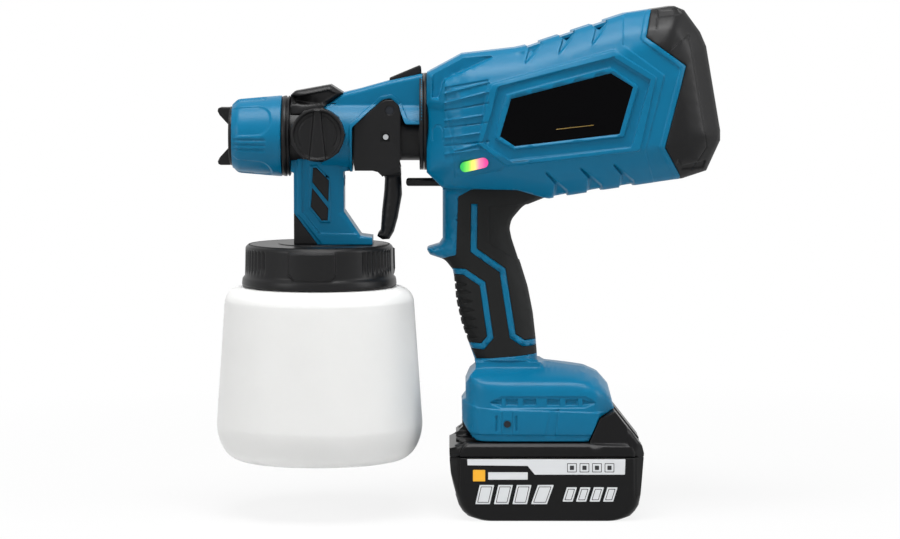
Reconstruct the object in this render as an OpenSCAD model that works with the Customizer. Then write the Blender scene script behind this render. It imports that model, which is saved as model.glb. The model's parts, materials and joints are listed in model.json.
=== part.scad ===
// Cordless cup sprayer that stands on its battery pack. Millimetres.
// X runs from the nozzle back to the air intake, Y from the left side to the right, Z up.
// The origin is the middle of the pack's underside.

/* [Battery pack] */
// Length of the pack along X
pack_len = 115.6; // [113:0.1:119]
// Width of the pack along Y
pack_w = 74; // [72:0.5:80]
// Height of the pack's case, without rails and hump
pack_h = 46.4; // [45.6:0.2:52]
// Wall of the pack's case
pack_wall = 2.4; // [1.8:0.1:2.6]
// Width of the rail head on top of the pack
rail_w = 54; // [50:1:56]
// Height of the rail block above the case
rail_h = 10.4; // [9.6:0.2:11]
// Rise of the rear hump above the case
hump_h = 18.6; // [17:0.2:20]
// Gap between cells
cell_gap = 0.3; // [0.2:0.1:1]
// Length of one cell
cell_len = 65; // [60:1:66]

/* [Foot and handle] */
// Width of the foot that the pack slides under
foot_w = 72; // [70:1:76]
// Height of the foot
foot_h = 45.6; // [44:0.2:48]
// Width of the handle, over the rubber
grip_w = 37; // [34:0.5:40]
// Thickness of the rubber grips
rubber_t = 1.8; // [1:0.1:2.2]
// Lean of the handle from the vertical, in degrees
handle_lean = 11.7; // [9:0.1:13]
// Height of the bayonet socket's centre above the pack's underside
socket_z = 235.7; // [233:0.1:240]

/* [Motor housing] */
// Widest width of the motor housing
drum_w = 92; // [90:1:98]
// Wall of all housing shells
shell_wall = 3; // [2.4:0.1:3.2]
// Tilt of the motor's axis, rear end up, in degrees
motor_tilt = 13; // [11:0.5:14]
// Length of the motor housing from socket face to intake
drum_len = 173.2; // [171:0.2:178]
// Outer diameter of the motor can
motor_d = 44; // [40:0.5:46]
// Length of the motor can
motor_len = 56; // [54:1:58]
// Room between the fan case and the outside of the housing
fan_room = 8; // [7:0.5:10]
// Length of the fan case
fan_case_len = 32; // [28:1:33]
// Diameter of the motor shaft
shaft_d = 6; // [4:0.5:7]
// Number of impeller blades
blade_count = 9; // [6:1:12]

/* [Spray gun] */
// Height of the nozzle axis above the pack's underside
nozzle_z = 227; // [226:0.1:228]
// Distance of the cup's axis in front of the housing
cup_reach = 64.6; // [64:0.1:67]
// Width of the gun shells
gun_w = 44; // [43:0.5:48]
// Wall of the gun shells
gun_wall = 2.4; // [2:0.1:2.6]
// Width of the neck above the cup
neck_w = 30; // [28:0.5:34]
// Outer diameter of the barrel's front tube
barrel_d = 39.4; // [38:0.2:40]
// Outer diameter of the barrel's rear tube
air_tube_d = 29.2; // [27:0.2:29.6]
// How far the nozzle nut stands out over the barrel at its rear edge
nut_wall = 4.4; // [3.3:0.1:5.3]
// Diameter of the flow knob
knob_d = 32.4; // [30:0.2:34]
// Depth of the flow knob
knob_t = 14; // [11:0.5:16]
// Diameter of the bayonet plug
plug_d = 48; // [46:0.5:50]
// Diameter of the paint needle
needle_d = 3; // [2.4:0.1:3.2]

/* [Paint cup] */
// Diameter of the cup near its foot
cup_d = 124; // [116:1:130]
// Diameter of the cup at its shoulder
cup_top_d = 113; // [110:1:120]
// Height of the cup's underside above the pack's underside
cup_lift = 33.3; // [30:0.1:40]
// Wall of the cup
cup_wall = 1.8; // [1.2:0.1:2.4]
// Diameter of the cup's neck
cup_neck_d = 83.2; // [80:0.2:84]
// Outer diameter of the collar at its foot
collar_d = 92.8; // [91:0.2:98]
// Height of the collar
collar_h = 24.9; // [22:0.1:27]

/* [Trigger] */
// Angle of the full pull, in degrees
trigger_pull = 13; // [8:0.5:13]
// Width of the finger lever
lever_w = 18; // [14:0.5:22]
// Thickness of each cheek
cheek_t = 3; // [2:0.1:3]
// Diameter of the pivot pin
pivot_d = 5; // [4:0.1:5.4]
// Diameter of the pin that draws the needle back
link_d = 3.2; // [2.6:0.1:3.6]

/* [Fits] */
// Radial gap of a running fit
run_gap = 0.05; // [0.02:0.01:0.1]
// Gap between faces that slide past each other
slide_gap = 0.4; // [0.3:0.05:0.5]
// Gap around screws and fixed inserts
seat_gap = 0.05; // [0:0.01:0.1]

/* [Hidden] */
$fn = 64;
big = 400;
blue = "#10668f";
black = "#1c1d20";

// --- Places that follow from the sizes ---
foot_z = pack_h + 0.8;
front_x = -71.4;
rear_x = front_x + drum_len;
foot_top = foot_z + foot_h;
cup_x = front_x - cup_reach;
lid_z = nozzle_z - 64.6;
knob_z = nozzle_z + 1.8;
knob_x = cup_x + 0.5;
nose_x = cup_x - 51.4;
pivot = [front_x - 22, nozzle_z + 15.8];
link = [pivot[0] - 2.3, nozzle_z];
plunger_z = socket_z - 36.3;
plunger_tip = front_x - 12.5;
pull_lift = 15.87 * trigger_pull * PI / 180;
plunger_stroke = 38.5 * trigger_pull * PI / 180;
drum_mid = [front_x + 101.4, socket_z + 8.9];
fan_case_d = drum_w - 2 * fan_room;
nut_d = barrel_d + 2 * nut_wall;
cap_r = barrel_d / 2;

// --- Helpers ---

// A flat outline in X and Z, made as deep as from y0 to y1.
module slab(y0, y1) {
  translate([0, y1, 0]) rotate([90, 0, 0]) linear_extrude(y1 - y0) children();
}

// The same, the same depth on both sides of the middle.
module both(half) {
  slab(-half, half) children();
}

// An outline in Y and Z, made as long as from x0 to x1.
module log_x(x0, x1) {
  translate([x0, 0, 0]) rotate([90, 0, 90]) linear_extrude(x1 - x0) children();
}

// Round bar or hole along X, on height z.
module rod_x(x0, x1, d, z, y = 0) {
  translate([x0, y, z]) rotate([0, 90, 0]) cylinder(d = d, h = x1 - x0);
}

// Round bar or hole along Y.
module rod_y(y0, y1, d, x, z) {
  translate([x, y1, z]) rotate([90, 0, 0]) cylinder(d = d, h = y1 - y0);
}

// Upright bar or hole.
module rod_z(z0, z1, d, x, y = 0) {
  translate([x, y, z0]) cylinder(d = d, h = z1 - z0);
}

// Box between two corners.
module span(a, b) {
  translate(a) cube(b - a);
}

// Outline turned about X: points are [x, radius], measured on height z.
module turned_x(pts, z) {
  translate([0, 0, z]) rotate([0, 90, 0]) rotate_extrude($fn = 96)
    polygon([for (p = pts) [p[1], p[0]]]);
}

// Keeps the left (-1) or right (1) side of the middle.
module side_of(side) {
  intersection() {
    children();
    translate([0, side * big / 2, 100]) cube([2 * big, big, 2 * big], center = true);
  }
}

// Moves children from the motor's own axes, x along the shaft, to their place.
module on_motor_axis() {
  translate([drum_mid[0], 0, drum_mid[1]]) rotate([0, -motor_tilt, 0]) children();
}

// Coil spring that stands on z = 0.
module coil(d, wire, h, turns) {
  sides = 6;
  per_turn = 12;
  last = turns * per_turn;
  pts = [
    for (i = [0 : last], k = [0 : sides - 1])
      let (a = 360 * i / per_turn, b = 360 * k / sides, r = d / 2 + wire / 2 * cos(b))
        [r * cos(a), r * sin(a), wire / 2 + (h - wire) * i / last + wire / 2 * sin(b)]
  ];
  walls = [
    for (i = [0 : last - 1], k = [0 : sides - 1])
      let (a = i * sides + k, b = i * sides + (k + 1) % sides)
        [a, a + sides, b + sides, b]
  ];
  start = [for (k = [0 : sides - 1]) k];
  end = [for (k = [sides - 1 : -1 : 0]) last * sides + k];
  polyhedron(points = pts, faces = concat(walls, [start, end]), convexity = 10);
}

// Tube along a route of points, for wires.
module lead(route, d) {
  sides = 8;
  last = len(route) - 1;
  pts = [
    for (i = [0 : last])
      let (
        from = route[max(i - 1, 0)], to = route[min(i + 1, last)],
        t = (to - from) / norm(to - from),
        u = cross(t, [0, 1, 0.01]) / norm(cross(t, [0, 1, 0.01])), v = cross(t, u)
      )
        for (k = [0 : sides - 1]) route[i] + d / 2 * (cos(45 * k) * u + sin(45 * k) * v)
  ];
  walls = [
    for (i = [0 : last - 1], k = [0 : sides - 1])
      let (a = i * sides + k, b = i * sides + (k + 1) % sides)
        [b, b + sides, a + sides, a]
  ];
  start = [for (k = [sides - 1 : -1 : 0]) k];
  end = [for (k = [0 : sides - 1]) last * sides + k];
  polyhedron(points = pts, faces = concat(walls, [start, end]), convexity = 10);
}

// Catmull-Rom points through a route, so that a wire bends smoothly.
function smooth(r, n) = [
  for (i = [0 : len(r) - 2], s = [0 : n - 1])
    let (
      t = s / n, a = r[max(i - 1, 0)], b = r[i], c = r[i + 1], d = r[min(i + 2, len(r) - 1)]
    )
      0.5 * (2 * b + (c - a) * t + (2 * a - 5 * b + 4 * c - d) * t * t
        + (3 * b - a - 3 * c + d) * t * t * t),
  r[len(r) - 1]
];

// --- Battery pack ---

pack_front = -pack_len / 2 - 0.2;
pack_rear = pack_len / 2 - 0.2;
rail_top = pack_h + rail_h;
hump_top = pack_h + hump_h;
seam_z = pack_h - 8.4;
stem_w = rail_w - 10;
head_z = pack_h + 4.5;
button_x = pack_rear - 20.6;

module pack_side() {
  polygon([
    [pack_front + 18, 0], [pack_rear - 14.6, 0], [pack_rear - 8.6, 3], [pack_rear - 2.3, 10.5],
    [pack_rear, pack_h - 6.7], [pack_rear - 1.1, pack_h - 2.2], [pack_rear - 17.4, hump_top],
    [pack_rear - 18.9, hump_top], [pack_rear - 26.4, hump_top - 4.2], [pack_rear - 32.6, pack_h],
    [pack_front + 10.3, pack_h], [pack_front, pack_h - 3.7], [pack_front + 0.4, 28],
    [pack_front + 6, 9], [pack_front + 11, 2.5]
  ]);
}

module pack_plan(inset) {
  x0 = pack_front + inset;
  x1 = pack_rear - inset;
  y = pack_w / 2 - inset;
  c = 7;
  polygon([
    [x0, c - y], [x0 + c, -y], [x1 - c, -y], [x1, c - y], [x1, y - c], [x1 - c, y], [x0 + c, y], [x0, y - c]
  ]);
}

module pack_end(inset) {
  y = pack_w / 2 - inset;
  polygon([
    [3.6 - y, 0], [y - 3.6, 0], [y, 3.6], [y, pack_h - 2], [y - 2, pack_h],
    [y - 3, hump_top + 1], [3 - y, hump_top + 1], [2 - y, pack_h], [-y, pack_h - 2], [-y, 3.6]
  ]);
}

module pack_form(inset) {
  intersection() {
    both(pack_w) offset(delta = -inset) pack_side();
    linear_extrude(hump_top + 10) pack_plan(inset);
    log_x(-pack_len, pack_len) pack_end(inset);
  }
}

// Hollow for the cells, closed above them and kept off the button's pocket.
module pack_hollow() {
  intersection() {
    pack_form(pack_wall);
    span([pack_front, -pack_w, pack_wall], [pack_rear - 9.6, pack_w, pack_h - 2.5]);
  }
}

module rail_block() {
  log_x(pack_front + 4, pack_rear - 24) polygon([
    [-stem_w / 2, pack_h - 1], [stem_w / 2, pack_h - 1], [stem_w / 2, head_z], [rail_w / 2, head_z],
    [rail_w / 2, rail_top], [-rail_w / 2, rail_top], [-rail_w / 2, head_z], [-stem_w / 2, head_z]
  ]);
}

// The button's pocket, deep enough for its travel.
module button_pocket() {
  w = button_w / 2 + slide_gap;
  both(w) polygon([
    [button_x - slide_gap, pack_h - 0.9], [button_x + 12, pack_h - 0.9],
    [button_x + 12, pack_h - 4], [pack_rear + 2, pack_h - 4], [pack_rear + 2, hump_top + 4],
    [button_x - slide_gap, hump_top + 4]
  ]);
}

button_w = 28;
nib_w = 10;

// Places of the pack's screws, [x, height of the head's seat].
post_d = 7.2;
post_y = pack_w / 2 - 8.5;
pack_posts = [[pack_front + 6, pack_h - 3.2], [pack_rear - 6.6, pack_h - 1.4]];
screw_foot = seam_z - 9;

module pack_case_lower() {
  color(black) difference() {
    intersection() {
      pack_form(0);
      span([-pack_len, -pack_w, 0], [pack_len, pack_w, seam_z]);
    }
    difference() {
      pack_hollow();
      for (p = pack_posts, y = [-post_y, post_y]) rod_z(screw_foot - 3, pack_h, post_d, p[0], y);
    }
    for (p = pack_posts, y = [-post_y, post_y]) rod_z(screw_foot - 1, pack_h, 2.6, p[0], y);
  }
}

module pack_case_upper() {
  color(black) difference() {
    union() {
      difference() {
        intersection() {
          pack_form(0);
          span([-pack_len, -pack_w, seam_z], [pack_len, pack_w, hump_top + 1]);
        }
        difference() {
          pack_hollow();
          for (p = pack_posts, y = [-post_y, post_y]) rod_z(0, pack_h, post_d, p[0], y);
        }
      }
      intersection() {
        rail_block();
        both(pack_w) polygon([
          [pack_front + 1, pack_h - 1], [pack_front + 2.5, head_z], [pack_front + 5.7, rail_top],
          [pack_rear - 26.6, rail_top], [pack_rear - 26.6, pack_h - 1]
        ]);
      }
    }
    button_pocket();
    for (y = blade_y) span([pack_front - 2, y - 1.6, rail_top - 5.6], [blade_x + 17, y + 1.6, rail_top + 1]);
    for (p = pack_posts, y = [-post_y, post_y]) {
      rod_z(0, hump_top, 2.7, p[0], y);
      rod_z(p[1], hump_top, 5.8, p[0], y);
    }
  }
}

// Five cells in a row, and what the pack holds at its ends.
cell_ends = 23.1;
cell_d = (pack_len - cell_ends) / 5 - cell_gap;

module pack_cells() {
  pitch = cell_d + cell_gap;
  color("#2f6fb0") for (row = [0, 1], i = [-2 : 2])
    rod_y(-cell_len / 2, cell_len / 2, cell_d, i * pitch - 1,
      pack_wall + 0.1 + cell_d / 2 + row * pitch);
}

blade_y = [-12, 0, 12];
blade_x = front_x + 41.4;

module pack_contacts() {
  color("silver") for (y = blade_y, s = [-1, 1])
    span([blade_x + 1, y + s * 1.3 - 0.25, rail_top - 5.55], [blade_x + 15, y + s * 1.3 + 0.25, rail_top - 0.6]);
}

module pack_screws() {
  color("silver") for (p = pack_posts, y = [-post_y, post_y]) {
    rod_z(screw_foot, p[1], 2.5, p[0], y);
    rod_z(p[1], p[1] + 1.6, 5.4, p[0], y);
  }
}

module release_button() {
  color(black) {
    both(button_w / 2) polygon([
      [button_x, pack_h + 6.6], [button_x, hump_top - 1.4], [button_x + 3.4, hump_top + 1],
      [button_x + 18.4, pack_h + 0.5], [button_x + 14, pack_h + 0.5], [button_x + 10.5, pack_h + 6.6]
    ]);
    span([button_x, -nib_w / 2, hump_top - 2], [button_x + 3, nib_w / 2, hump_top + 1.6]);
  }
}

module button_spring() {
  color("silver") translate([button_x + 6, 0, pack_h - 0.85]) coil(6, 0.8, 7.35, 4);
}

// --- Housing: side outlines ---

// Motor housing from the side: front face first, then along the top to the intake and back below.
module drum_side() {
  polygon([
    [front_x, socket_z - 29.3], [front_x, socket_z + 29.3], [front_x + 20.7, socket_z + 40.5],
    [front_x + 52.5, socket_z + 44.1], [front_x + 60.2, socket_z + 45.8],
    [rear_x - 55.3, socket_z + 64.6], [rear_x - 27.6, socket_z + 68.8], [rear_x - 21.7, socket_z + 66.4],
    [rear_x - 12.2, socket_z + 53.5], [rear_x - 8.6, socket_z + 45.2], [rear_x, socket_z - 4.3],
    [rear_x, socket_z - 10.2], [rear_x - 8.1, socket_z - 28], [rear_x - 22.3, socket_z - 32.7],
    [rear_x - 70.8, socket_z - 39.8], [front_x + 70, socket_z - 45], [front_x + 50, socket_z - 40.5],
    [front_x + 9.4, socket_z - 38.5]
  ]);
}

// Handle from the side, with the guard in front and the swept back.
module handle_side() {
  polygon([
    [front_x + 9.4, socket_z - 25], [front_x + 9.4, socket_z - 70.1], [front_x + 7.4, socket_z - 73],
    [front_x - 0.6, socket_z - 75.5], [front_x + 1.9, socket_z - 79.4], [front_x + 10.7, socket_z - 82.3],
    [front_x + 15.4, socket_z - 88.2], [front_x + 16.2, socket_z - 92], [front_x + 17.5, socket_z - 106.4],
    [front_x + 20.8, socket_z - 120.8], [front_x + 26.8, foot_top + 6], [front_x + 28.9, foot_top],
    [front_x + 29.3, foot_top - 5], [front_x + 66.4, foot_top - 5], [front_x + 66, foot_top + 2.6],
    [front_x + 65.1, socket_z - 129.2], [front_x + 63.4, socket_z - 114], [front_x + 60.4, socket_z - 98.8],
    [front_x + 56.2, socket_z - 85.3], [front_x + 51.2, socket_z - 70.1], [front_x + 49.8, socket_z - 63.3],
    [front_x + 51.1, socket_z - 58.3], [front_x + 57.8, socket_z - 50.3], [front_x + 69.6, socket_z - 45.6],
    [front_x + 82, socket_z - 40], [front_x + 82, socket_z - 25]
  ]);
}

// Foot from the side.
module foot_side() {
  polygon([
    [-42.1, foot_top], [-42.5, foot_top - 4], [-45.5, foot_top - 7], [-48.2, foot_top - 12.5],
    [-48.2, foot_top - 21], [-50.6, foot_top - 23.5], [-50.3, foot_z + 11], [-47.5, foot_z + 5],
    [-41, foot_z], [24.5, foot_z], [pack_rear - 26.9, hump_top - 3.6], [pack_rear - 18.6, hump_top + 0.6],
    [pack_rear - 17.6, hump_top + 1], [pack_rear - 20.6, hump_top + 13.2], [pack_rear - 27, foot_top - 7.3],
    [22.4, foot_top - 3.6], [3.9, foot_top - 1], [-4.6, foot_top]
  ]);
}

// Front view of foot and handle root: narrow on top, wide at the pack.
module foot_end(inset) {
  w = foot_w / 2 - inset;
  g = grip_w / 2 - inset;
  polygon([
    [-g - 1, foot_top + 1], [-g - 6, foot_top - 4], [3 - w, foot_top - 13], [-w, foot_top - 20],
    [-w, foot_z + 12], [1.5 - w, foot_z - 1], [w - 1.5, foot_z - 1], [w, foot_z + 12],
    [w, foot_top - 20], [w - 3, foot_top - 13], [g + 6, foot_top - 4], [g + 1, foot_top + 1]
  ]);
}

// --- Housing: solid forms, shrunk by an inset for the hollow ---

module drum_form(inset) {
  // Each step is [half width, distance in from the side outline].
  steps = [[drum_w / 2 - 16, 0], [drum_w / 2 - 5, 11], [drum_w / 2, 21]];
  intersection() {
    both(drum_w) offset(delta = -inset) drum_side();
    hull() for (s = steps) both(s[0] - inset) offset(delta = -inset - s[1]) drum_side();
  }
}

// Oval section of the handle, laid across its leaning axis.
module handle_form(inset) {
  depth = 40 - inset;
  half = grip_w / 2 - inset;
  intersection() {
    both(grip_w) offset(delta = -inset) handle_side();
    translate([front_x + 33.4, 0, socket_z - 75.7]) rotate([0, -handle_lean, 0])
      translate([0, 0, -110]) linear_extrude(220)
        polygon([for (a = [0 : 12 : 348]) [depth * cos(a), half * sign(sin(a)) * pow(abs(sin(a)), 0.8)]]);
  }
}

module foot_form(inset) {
  intersection() {
    both(foot_w) offset(delta = -inset) foot_side();
    log_x(-100, 100) foot_end(inset);
    linear_extrude(200) foot_plan(inset);
  }
}

module foot_plan(inset) {
  y = foot_w / 2 - inset;
  x0 = -50.6 + inset;
  x1 = pack_rear - 17.6 - inset;
  c = 12;
  polygon([
    [x0, 2 * c - y], [x0 + c / 2, c / 2 - y], [x0 + 2 * c, -y], [x1 - c, -y], [x1, c - y],
    [x1, y - c], [x1 - c, y], [x0 + 2 * c, y], [x0 + c / 2, y - c / 2], [x0, y - 2 * c]
  ]);
}

// Channel in the foot for the pack's rails.
module rail_channel() {
  g = slide_gap;
  log_x(-60, 60) polygon([
    [-stem_w / 2 - g, foot_z - 3], [stem_w / 2 + g, foot_z - 3], [stem_w / 2 + g, head_z - g],
    [rail_w / 2 + g, head_z - g], [rail_w / 2 + g, rail_top + g], [-rail_w / 2 - g, rail_top + g],
    [-rail_w / 2 - g, head_z - g], [-stem_w / 2 - g, head_z - g]
  ]);
}

// --- Housing: what is cut and added ---

// Edge between housing and rear cap, seen from the side.
module cap_side(back) {
  polygon([
    [rear_x - 41 + back, socket_z + 90], [rear_x - 41 + back, socket_z + 67], [rear_x - 42.4 + back, socket_z + 62],
    [rear_x - 44.8 + back, socket_z + 50.5], [rear_x - 21.4 + back, socket_z + 33.8],
    [rear_x - 33.6 + back, socket_z - 13.9], [rear_x - 23.9 + back, socket_z - 30.8],
    [rear_x - 20.5 + back, socket_z - 60], [rear_x + 40, socket_z - 60], [rear_x + 40, socket_z + 90]
  ]);
}

// Six-sided outline of the name plate.
module plate_side() {
  polygon([
    [front_x + 49.4, socket_z + 14.7], [front_x + 107.6, socket_z + 29.7], [front_x + 120.7, socket_z + 21.7],
    [front_x + 112.9, socket_z - 5.8], [front_x + 51.7, socket_z - 13], [front_x + 43, socket_z - 7.2]
  ]);
}

plate_t = 1;
frame_lip = 3.3;
frame_sink = 5.4;

// Pocket for a name plate, with the sunk band around it.
module plate_cuts(side) {
  y = drum_w / 2;
  m = side < 0 ? 0 : 1;
  mirror([0, m, 0]) {
    slab(-y - 1, plate_t - y) plate_side();
    slab(-y - 1, 1.4 - y) difference() {
      offset(delta = frame_lip + frame_sink) plate_side();
      offset(delta = frame_lip) plate_side();
    }
  }
}

// Places of the housing screws, [x, z].
boss_d = 9;
housing_bosses = [
  [front_x + 14.4, socket_z + 25.5 + 6], [front_x + 101, socket_z + 48], [front_x + 112, socket_z - 28],
  [front_x + 36, socket_z - 62], [front_x + 46, foot_top + 20], [-43.5, foot_z + 19.5], [24, foot_z + 26]
];

module bosses(places, d, half) {
  for (p = places) rod_y(-half, half, d, p[0], p[1]);
}

module housing_hollow() {
  difference() {
    union() {
      drum_form(shell_wall);
      handle_form(shell_wall + rubber_t - 0.6);
      intersection() {
        foot_form(shell_wall);
        span([-100, -100, rail_top + 3], [100, 100, foot_top + 5]);
      }
      // Way between handle and foot.
      intersection() {
        span([front_x + 33, -grip_w / 2 + 5, foot_top - 9], [front_x + 62, grip_w / 2 - 5, foot_top + 8]);
        both(60) offset(delta = -shell_wall) union() {
          handle_side();
          foot_side();
        }
      }
    }
    bosses(housing_bosses, boss_d, 60);
    motor_ribs();
    span([front_x, -60, plunger_z - 6.5], [plunger_tip + 22.5, 60, plunger_z + 6.5]);
    span([switch_x - 3, -60, switch_z0], [switch_x + 21, 60, switch_z1]);
  }
}

switch_x = plunger_tip + 42;
switch_w = 10;
switch_z0 = plunger_z - 8.5;
switch_z1 = plunger_z + 5.5;

// Ribs that carry the fan case and the motor.
module motor_ribs() {
  on_motor_axis() {
    difference() {
      span([-32, -60, -70], [-25, 60, 70]);
      rod_x(-90, 90, fan_case_d + 2 * seat_gap, 0);
      rod_x(-90, 90, 6, -30, 30);
    }
    difference() {
      union() {
        span([6, -2, -70], [28, 2, 70]);
        span([6, -60, -2], [28, 60, 2]);
      }
      rod_x(-90, 90, motor_d + 2 * seat_gap, 0);
    }
  }
}

// Where the rubber lies on the handle, from the side.
module rubber_side() {
  polygon([
    [front_x + 18.7, socket_z - 44.1], [front_x + 27.5, socket_z - 39.1], [front_x + 53.3, socket_z - 39.5],
    [front_x + 69.2, socket_z - 44.1], [front_x + 80, socket_z - 46], [front_x + 80, socket_z - 90],
    [front_x + 74, foot_top + 5], [front_x + 65.4, foot_top + 4.6], [front_x + 29.6, foot_top + 1.6],
    [front_x + 26.2, foot_top + 8.4], [front_x + 5, foot_top + 8.4], [front_x + 5, socket_z - 84.5],
    [front_x + 10.8, socket_z - 81], [front_x + 17.4, socket_z - 78.8]
  ]);
}

// Housing stripes that show through the rubber.
module stripe(pts, w) {
  for (i = [0 : len(pts) - 2])
    let (a = pts[i], b = pts[i + 1], n = [a[1] - b[1], b[0] - a[0]] / norm(b - a) * w / 2, e = (b - a) / norm(b - a) * w / 2)
      polygon([a + n - e * 0.6, a - n - e * 0.6, b - n + e * 0.6, b + n + e * 0.6]);
}

module rubber_stripes() {
  stripe([
    [front_x + 28.3, socket_z - 49.5], [front_x + 27.9, socket_z - 76], [front_x + 45, socket_z - 88],
    [front_x + 51.2, socket_z - 127.3], [front_x + 57.5, socket_z - 131.6], [front_x + 90, socket_z - 131]
  ], 3.6);
  stripe([
    [front_x - 5, socket_z - 89], [front_x + 22.4, socket_z - 89], [front_x + 33.2, socket_z - 96.1],
    [front_x + 37.8, socket_z - 128], [front_x + 33.3, socket_z - 133.5], [front_x - 5, socket_z - 133.5]
  ], 3.4);
}

// The band of rubber wrapped over one side of the handle.
module rubber_band(side, depth) {
  side_of(side) intersection() {
    difference() {
      handle_form(0);
      handle_form(depth);
    }
    both(60) difference() {
      rubber_side();
      rubber_stripes();
    }
  }
}

// Capsule outline of the status light.
module led_side(grow) {
  hull() {
    translate([front_x + 22.7, socket_z - 25.2]) circle(d = 6 + 2 * grow, $fn = 48);
    translate([front_x + 33.2, socket_z - 22.8]) circle(d = 6 + 2 * grow, $fn = 48);
  }
}

module housing_half(side) {
  color(blue) difference() {
    union() {
      side_of(side) difference() {
        union() {
          difference() {
            drum_form(0);
            both(60) cap_side(0);
          }
          handle_form(0);
          difference() {
            foot_form(0);
            rail_channel();
          }
        }
        difference() {
          housing_hollow();
          both(60) cap_side(0);
        }
      }
    }
    // Socket in the front wall.
    rod_x(front_x - 1, front_x + 13, plug_d + 2 * slide_gap + 4 + 2 * seat_gap, socket_z);
    // Plunger way and switch chamber.
    rod_x(front_x - 5, switch_x - 3, plunger_d + 2 * plunger_gap, plunger_z);
    rod_x(plunger_tip + 22.5, switch_x - 3, 9, plunger_z);
    span([switch_x - 3, -switch_w / 2 - seat_gap, switch_z0 - 1],
      [switch_x + 22, switch_w / 2 + seat_gap, switch_z1 + 1]);
    // Seats of plates, rubber and light.
    plate_cuts(side);
    intersection() {
      difference() {
        handle_form(-1);
        handle_form(rubber_t);
      }
      both(60) difference() {
        rubber_side();
        rubber_stripes();
      }
    }
    if (side < 0) slab(-60, 16 - drum_w / 2) led_side(seat_gap);
    // Notch for the pack's latch nib, and the slots for the terminal blades.
    span([pack_rear - 28, -nib_w / 2 - slide_gap, rail_top - 1], [60, nib_w / 2 + slide_gap, hump_top + 3]);
    for (y = blade_y) span([blade_x - 1, y - 0.7, rail_top - 1], [blade_x + 17, y + 0.7, rail_top + 4]);
    // Screws: clear through the right half, blind in the left one.
    for (p = housing_bosses) {
      rod_y(-12, 60, 3 + 2 * seat_gap, p[0], p[1]);
      rod_y(head_y, 60, 6.4, p[0], p[1]);
    }
    for (m = [0, 1]) mirror([0, m, 0]) {
      rod_y(rail_w / 2 + 1.5, 60, 2.4 + 2 * seat_gap, rail_screw[0], rail_screw[1]);
      rod_y(foot_w / 2 - 2.4, 60, 4 + 2 * seat_gap, rail_screw[0], rail_screw[1]);
    }
  }
}

head_y = 12;
plunger_d = 5;
plunger_gap = 0.1;

// Short screws in the foot's sides, beside the rails.
rail_screw = [-23.7, foot_z + 10.5];

module housing_left() {
  housing_half(-1);
}

module housing_right() {
  housing_half(1);
}

module housing_screws() {
  color("silver") for (p = housing_bosses) {
    rod_y(-11.5, head_y, 3, p[0], p[1]);
    rod_y(head_y, head_y + 2.2, 5.8, p[0], p[1]);
  }
  color("silver") for (m = [0, 1]) mirror([0, m, 0]) {
    rod_y(rail_w / 2 + 1.6, foot_w / 2 - 2.4, 2.4, rail_screw[0], rail_screw[1]);
    rod_y(foot_w / 2 - 2.4, foot_w / 2 - 0.8, 4, rail_screw[0], rail_screw[1]);
  }
}

module rear_cap() {
  slot_pitch = 7;
  color(black) difference() {
    intersection() {
      drum_form(0);
      both(60) cap_side(seat_gap);
    }
    drum_form(shell_wall);
    // Air slots through the rear wall.
    for (i = [-4 : 4])
      translate([rear_x - 6, 0, socket_z + 20 + i * slot_pitch]) rotate([0, -9.9, 0])
        cube([30, drum_w / 2 - 2 * abs(i), 2.6], center = true);
  }
}

module intake_filter() {
  // Pad held against the rear wall, parallel to it.
  top = [rear_x - 8.6, socket_z + 45.2];
  foot = [rear_x, socket_z - 4.3];
  up = (top - foot) / norm(top - foot);
  inward = [-up[1], up[0]];
  a = top - up * 3 + inward * (shell_wall + seat_gap);
  b = foot + up * 2 + inward * (shell_wall + seat_gap);
  color("#55585c") both(drum_w / 2 - 20) polygon([a, b, b + inward * 9, a + inward * 9]);
}

module name_plate(side) {
  y = drum_w / 2;
  color("#08090a") mirror([0, side < 0 ? 0 : 1, 0])
    slab(-y + 0.2, plate_t - y) offset(delta = -seat_gap) plate_side();
}

module name_plate_left() {
  name_plate(-1);
}

module name_plate_right() {
  name_plate(1);
}

module grip_left() {
  color("#222326") rubber_band(-1, rubber_t);
}

module grip_right() {
  color("#222326") rubber_band(1, rubber_t);
}

// --- Motor unit insides ---

ring_t = 1.6;
socket_bore = plug_d + 2 * slide_gap;

module socket_ring() {
  color(black) difference() {
    union() {
      rod_x(front_x - ring_t, front_x, 58, socket_z);
      rod_x(front_x - ring_t, front_x + 13, socket_bore + 4, socket_z);
    }
    rod_x(front_x - ring_t - 1, front_x + 14, socket_bore, socket_z);
  }
}

// Place of a point given in the motor's own axes.
function from_motor(p) = [
  drum_mid[0] + p[0] * cos(motor_tilt) - p[2] * sin(motor_tilt), p[1],
  drum_mid[1] + p[0] * sin(motor_tilt) + p[2] * cos(motor_tilt)
];

tab_x = motor_len - 12;
motor_lead = [
  [-32, 30, -30], [-25, 30, -30], [-12, 31, -27], [6, 30, -22], [20, 28, -17], [tab_x - 10, 26, -8], [tab_x - 3, 24.6, -1], [tab_x - 0.1, 24.6, 0]
];

duct_x = front_x + 13;
fan_front = -14 - fan_case_len;

module outlet_duct() {
  color("#3a3c40") difference() {
    hull() {
      rod_x(duct_x, duct_x + 0.5, socket_bore + 4, socket_z, $fn = 32);
      on_motor_axis() rod_x(fan_front - 0.5, fan_front, 60, 0, $fn = 32);
    }
    hull() {
      rod_x(duct_x - 0.1, duct_x + 0.5, socket_bore, socket_z, $fn = 32);
      on_motor_axis() rod_x(fan_front - 0.5, fan_front + 0.1, 56, 0, $fn = 32);
    }
  }
}

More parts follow.
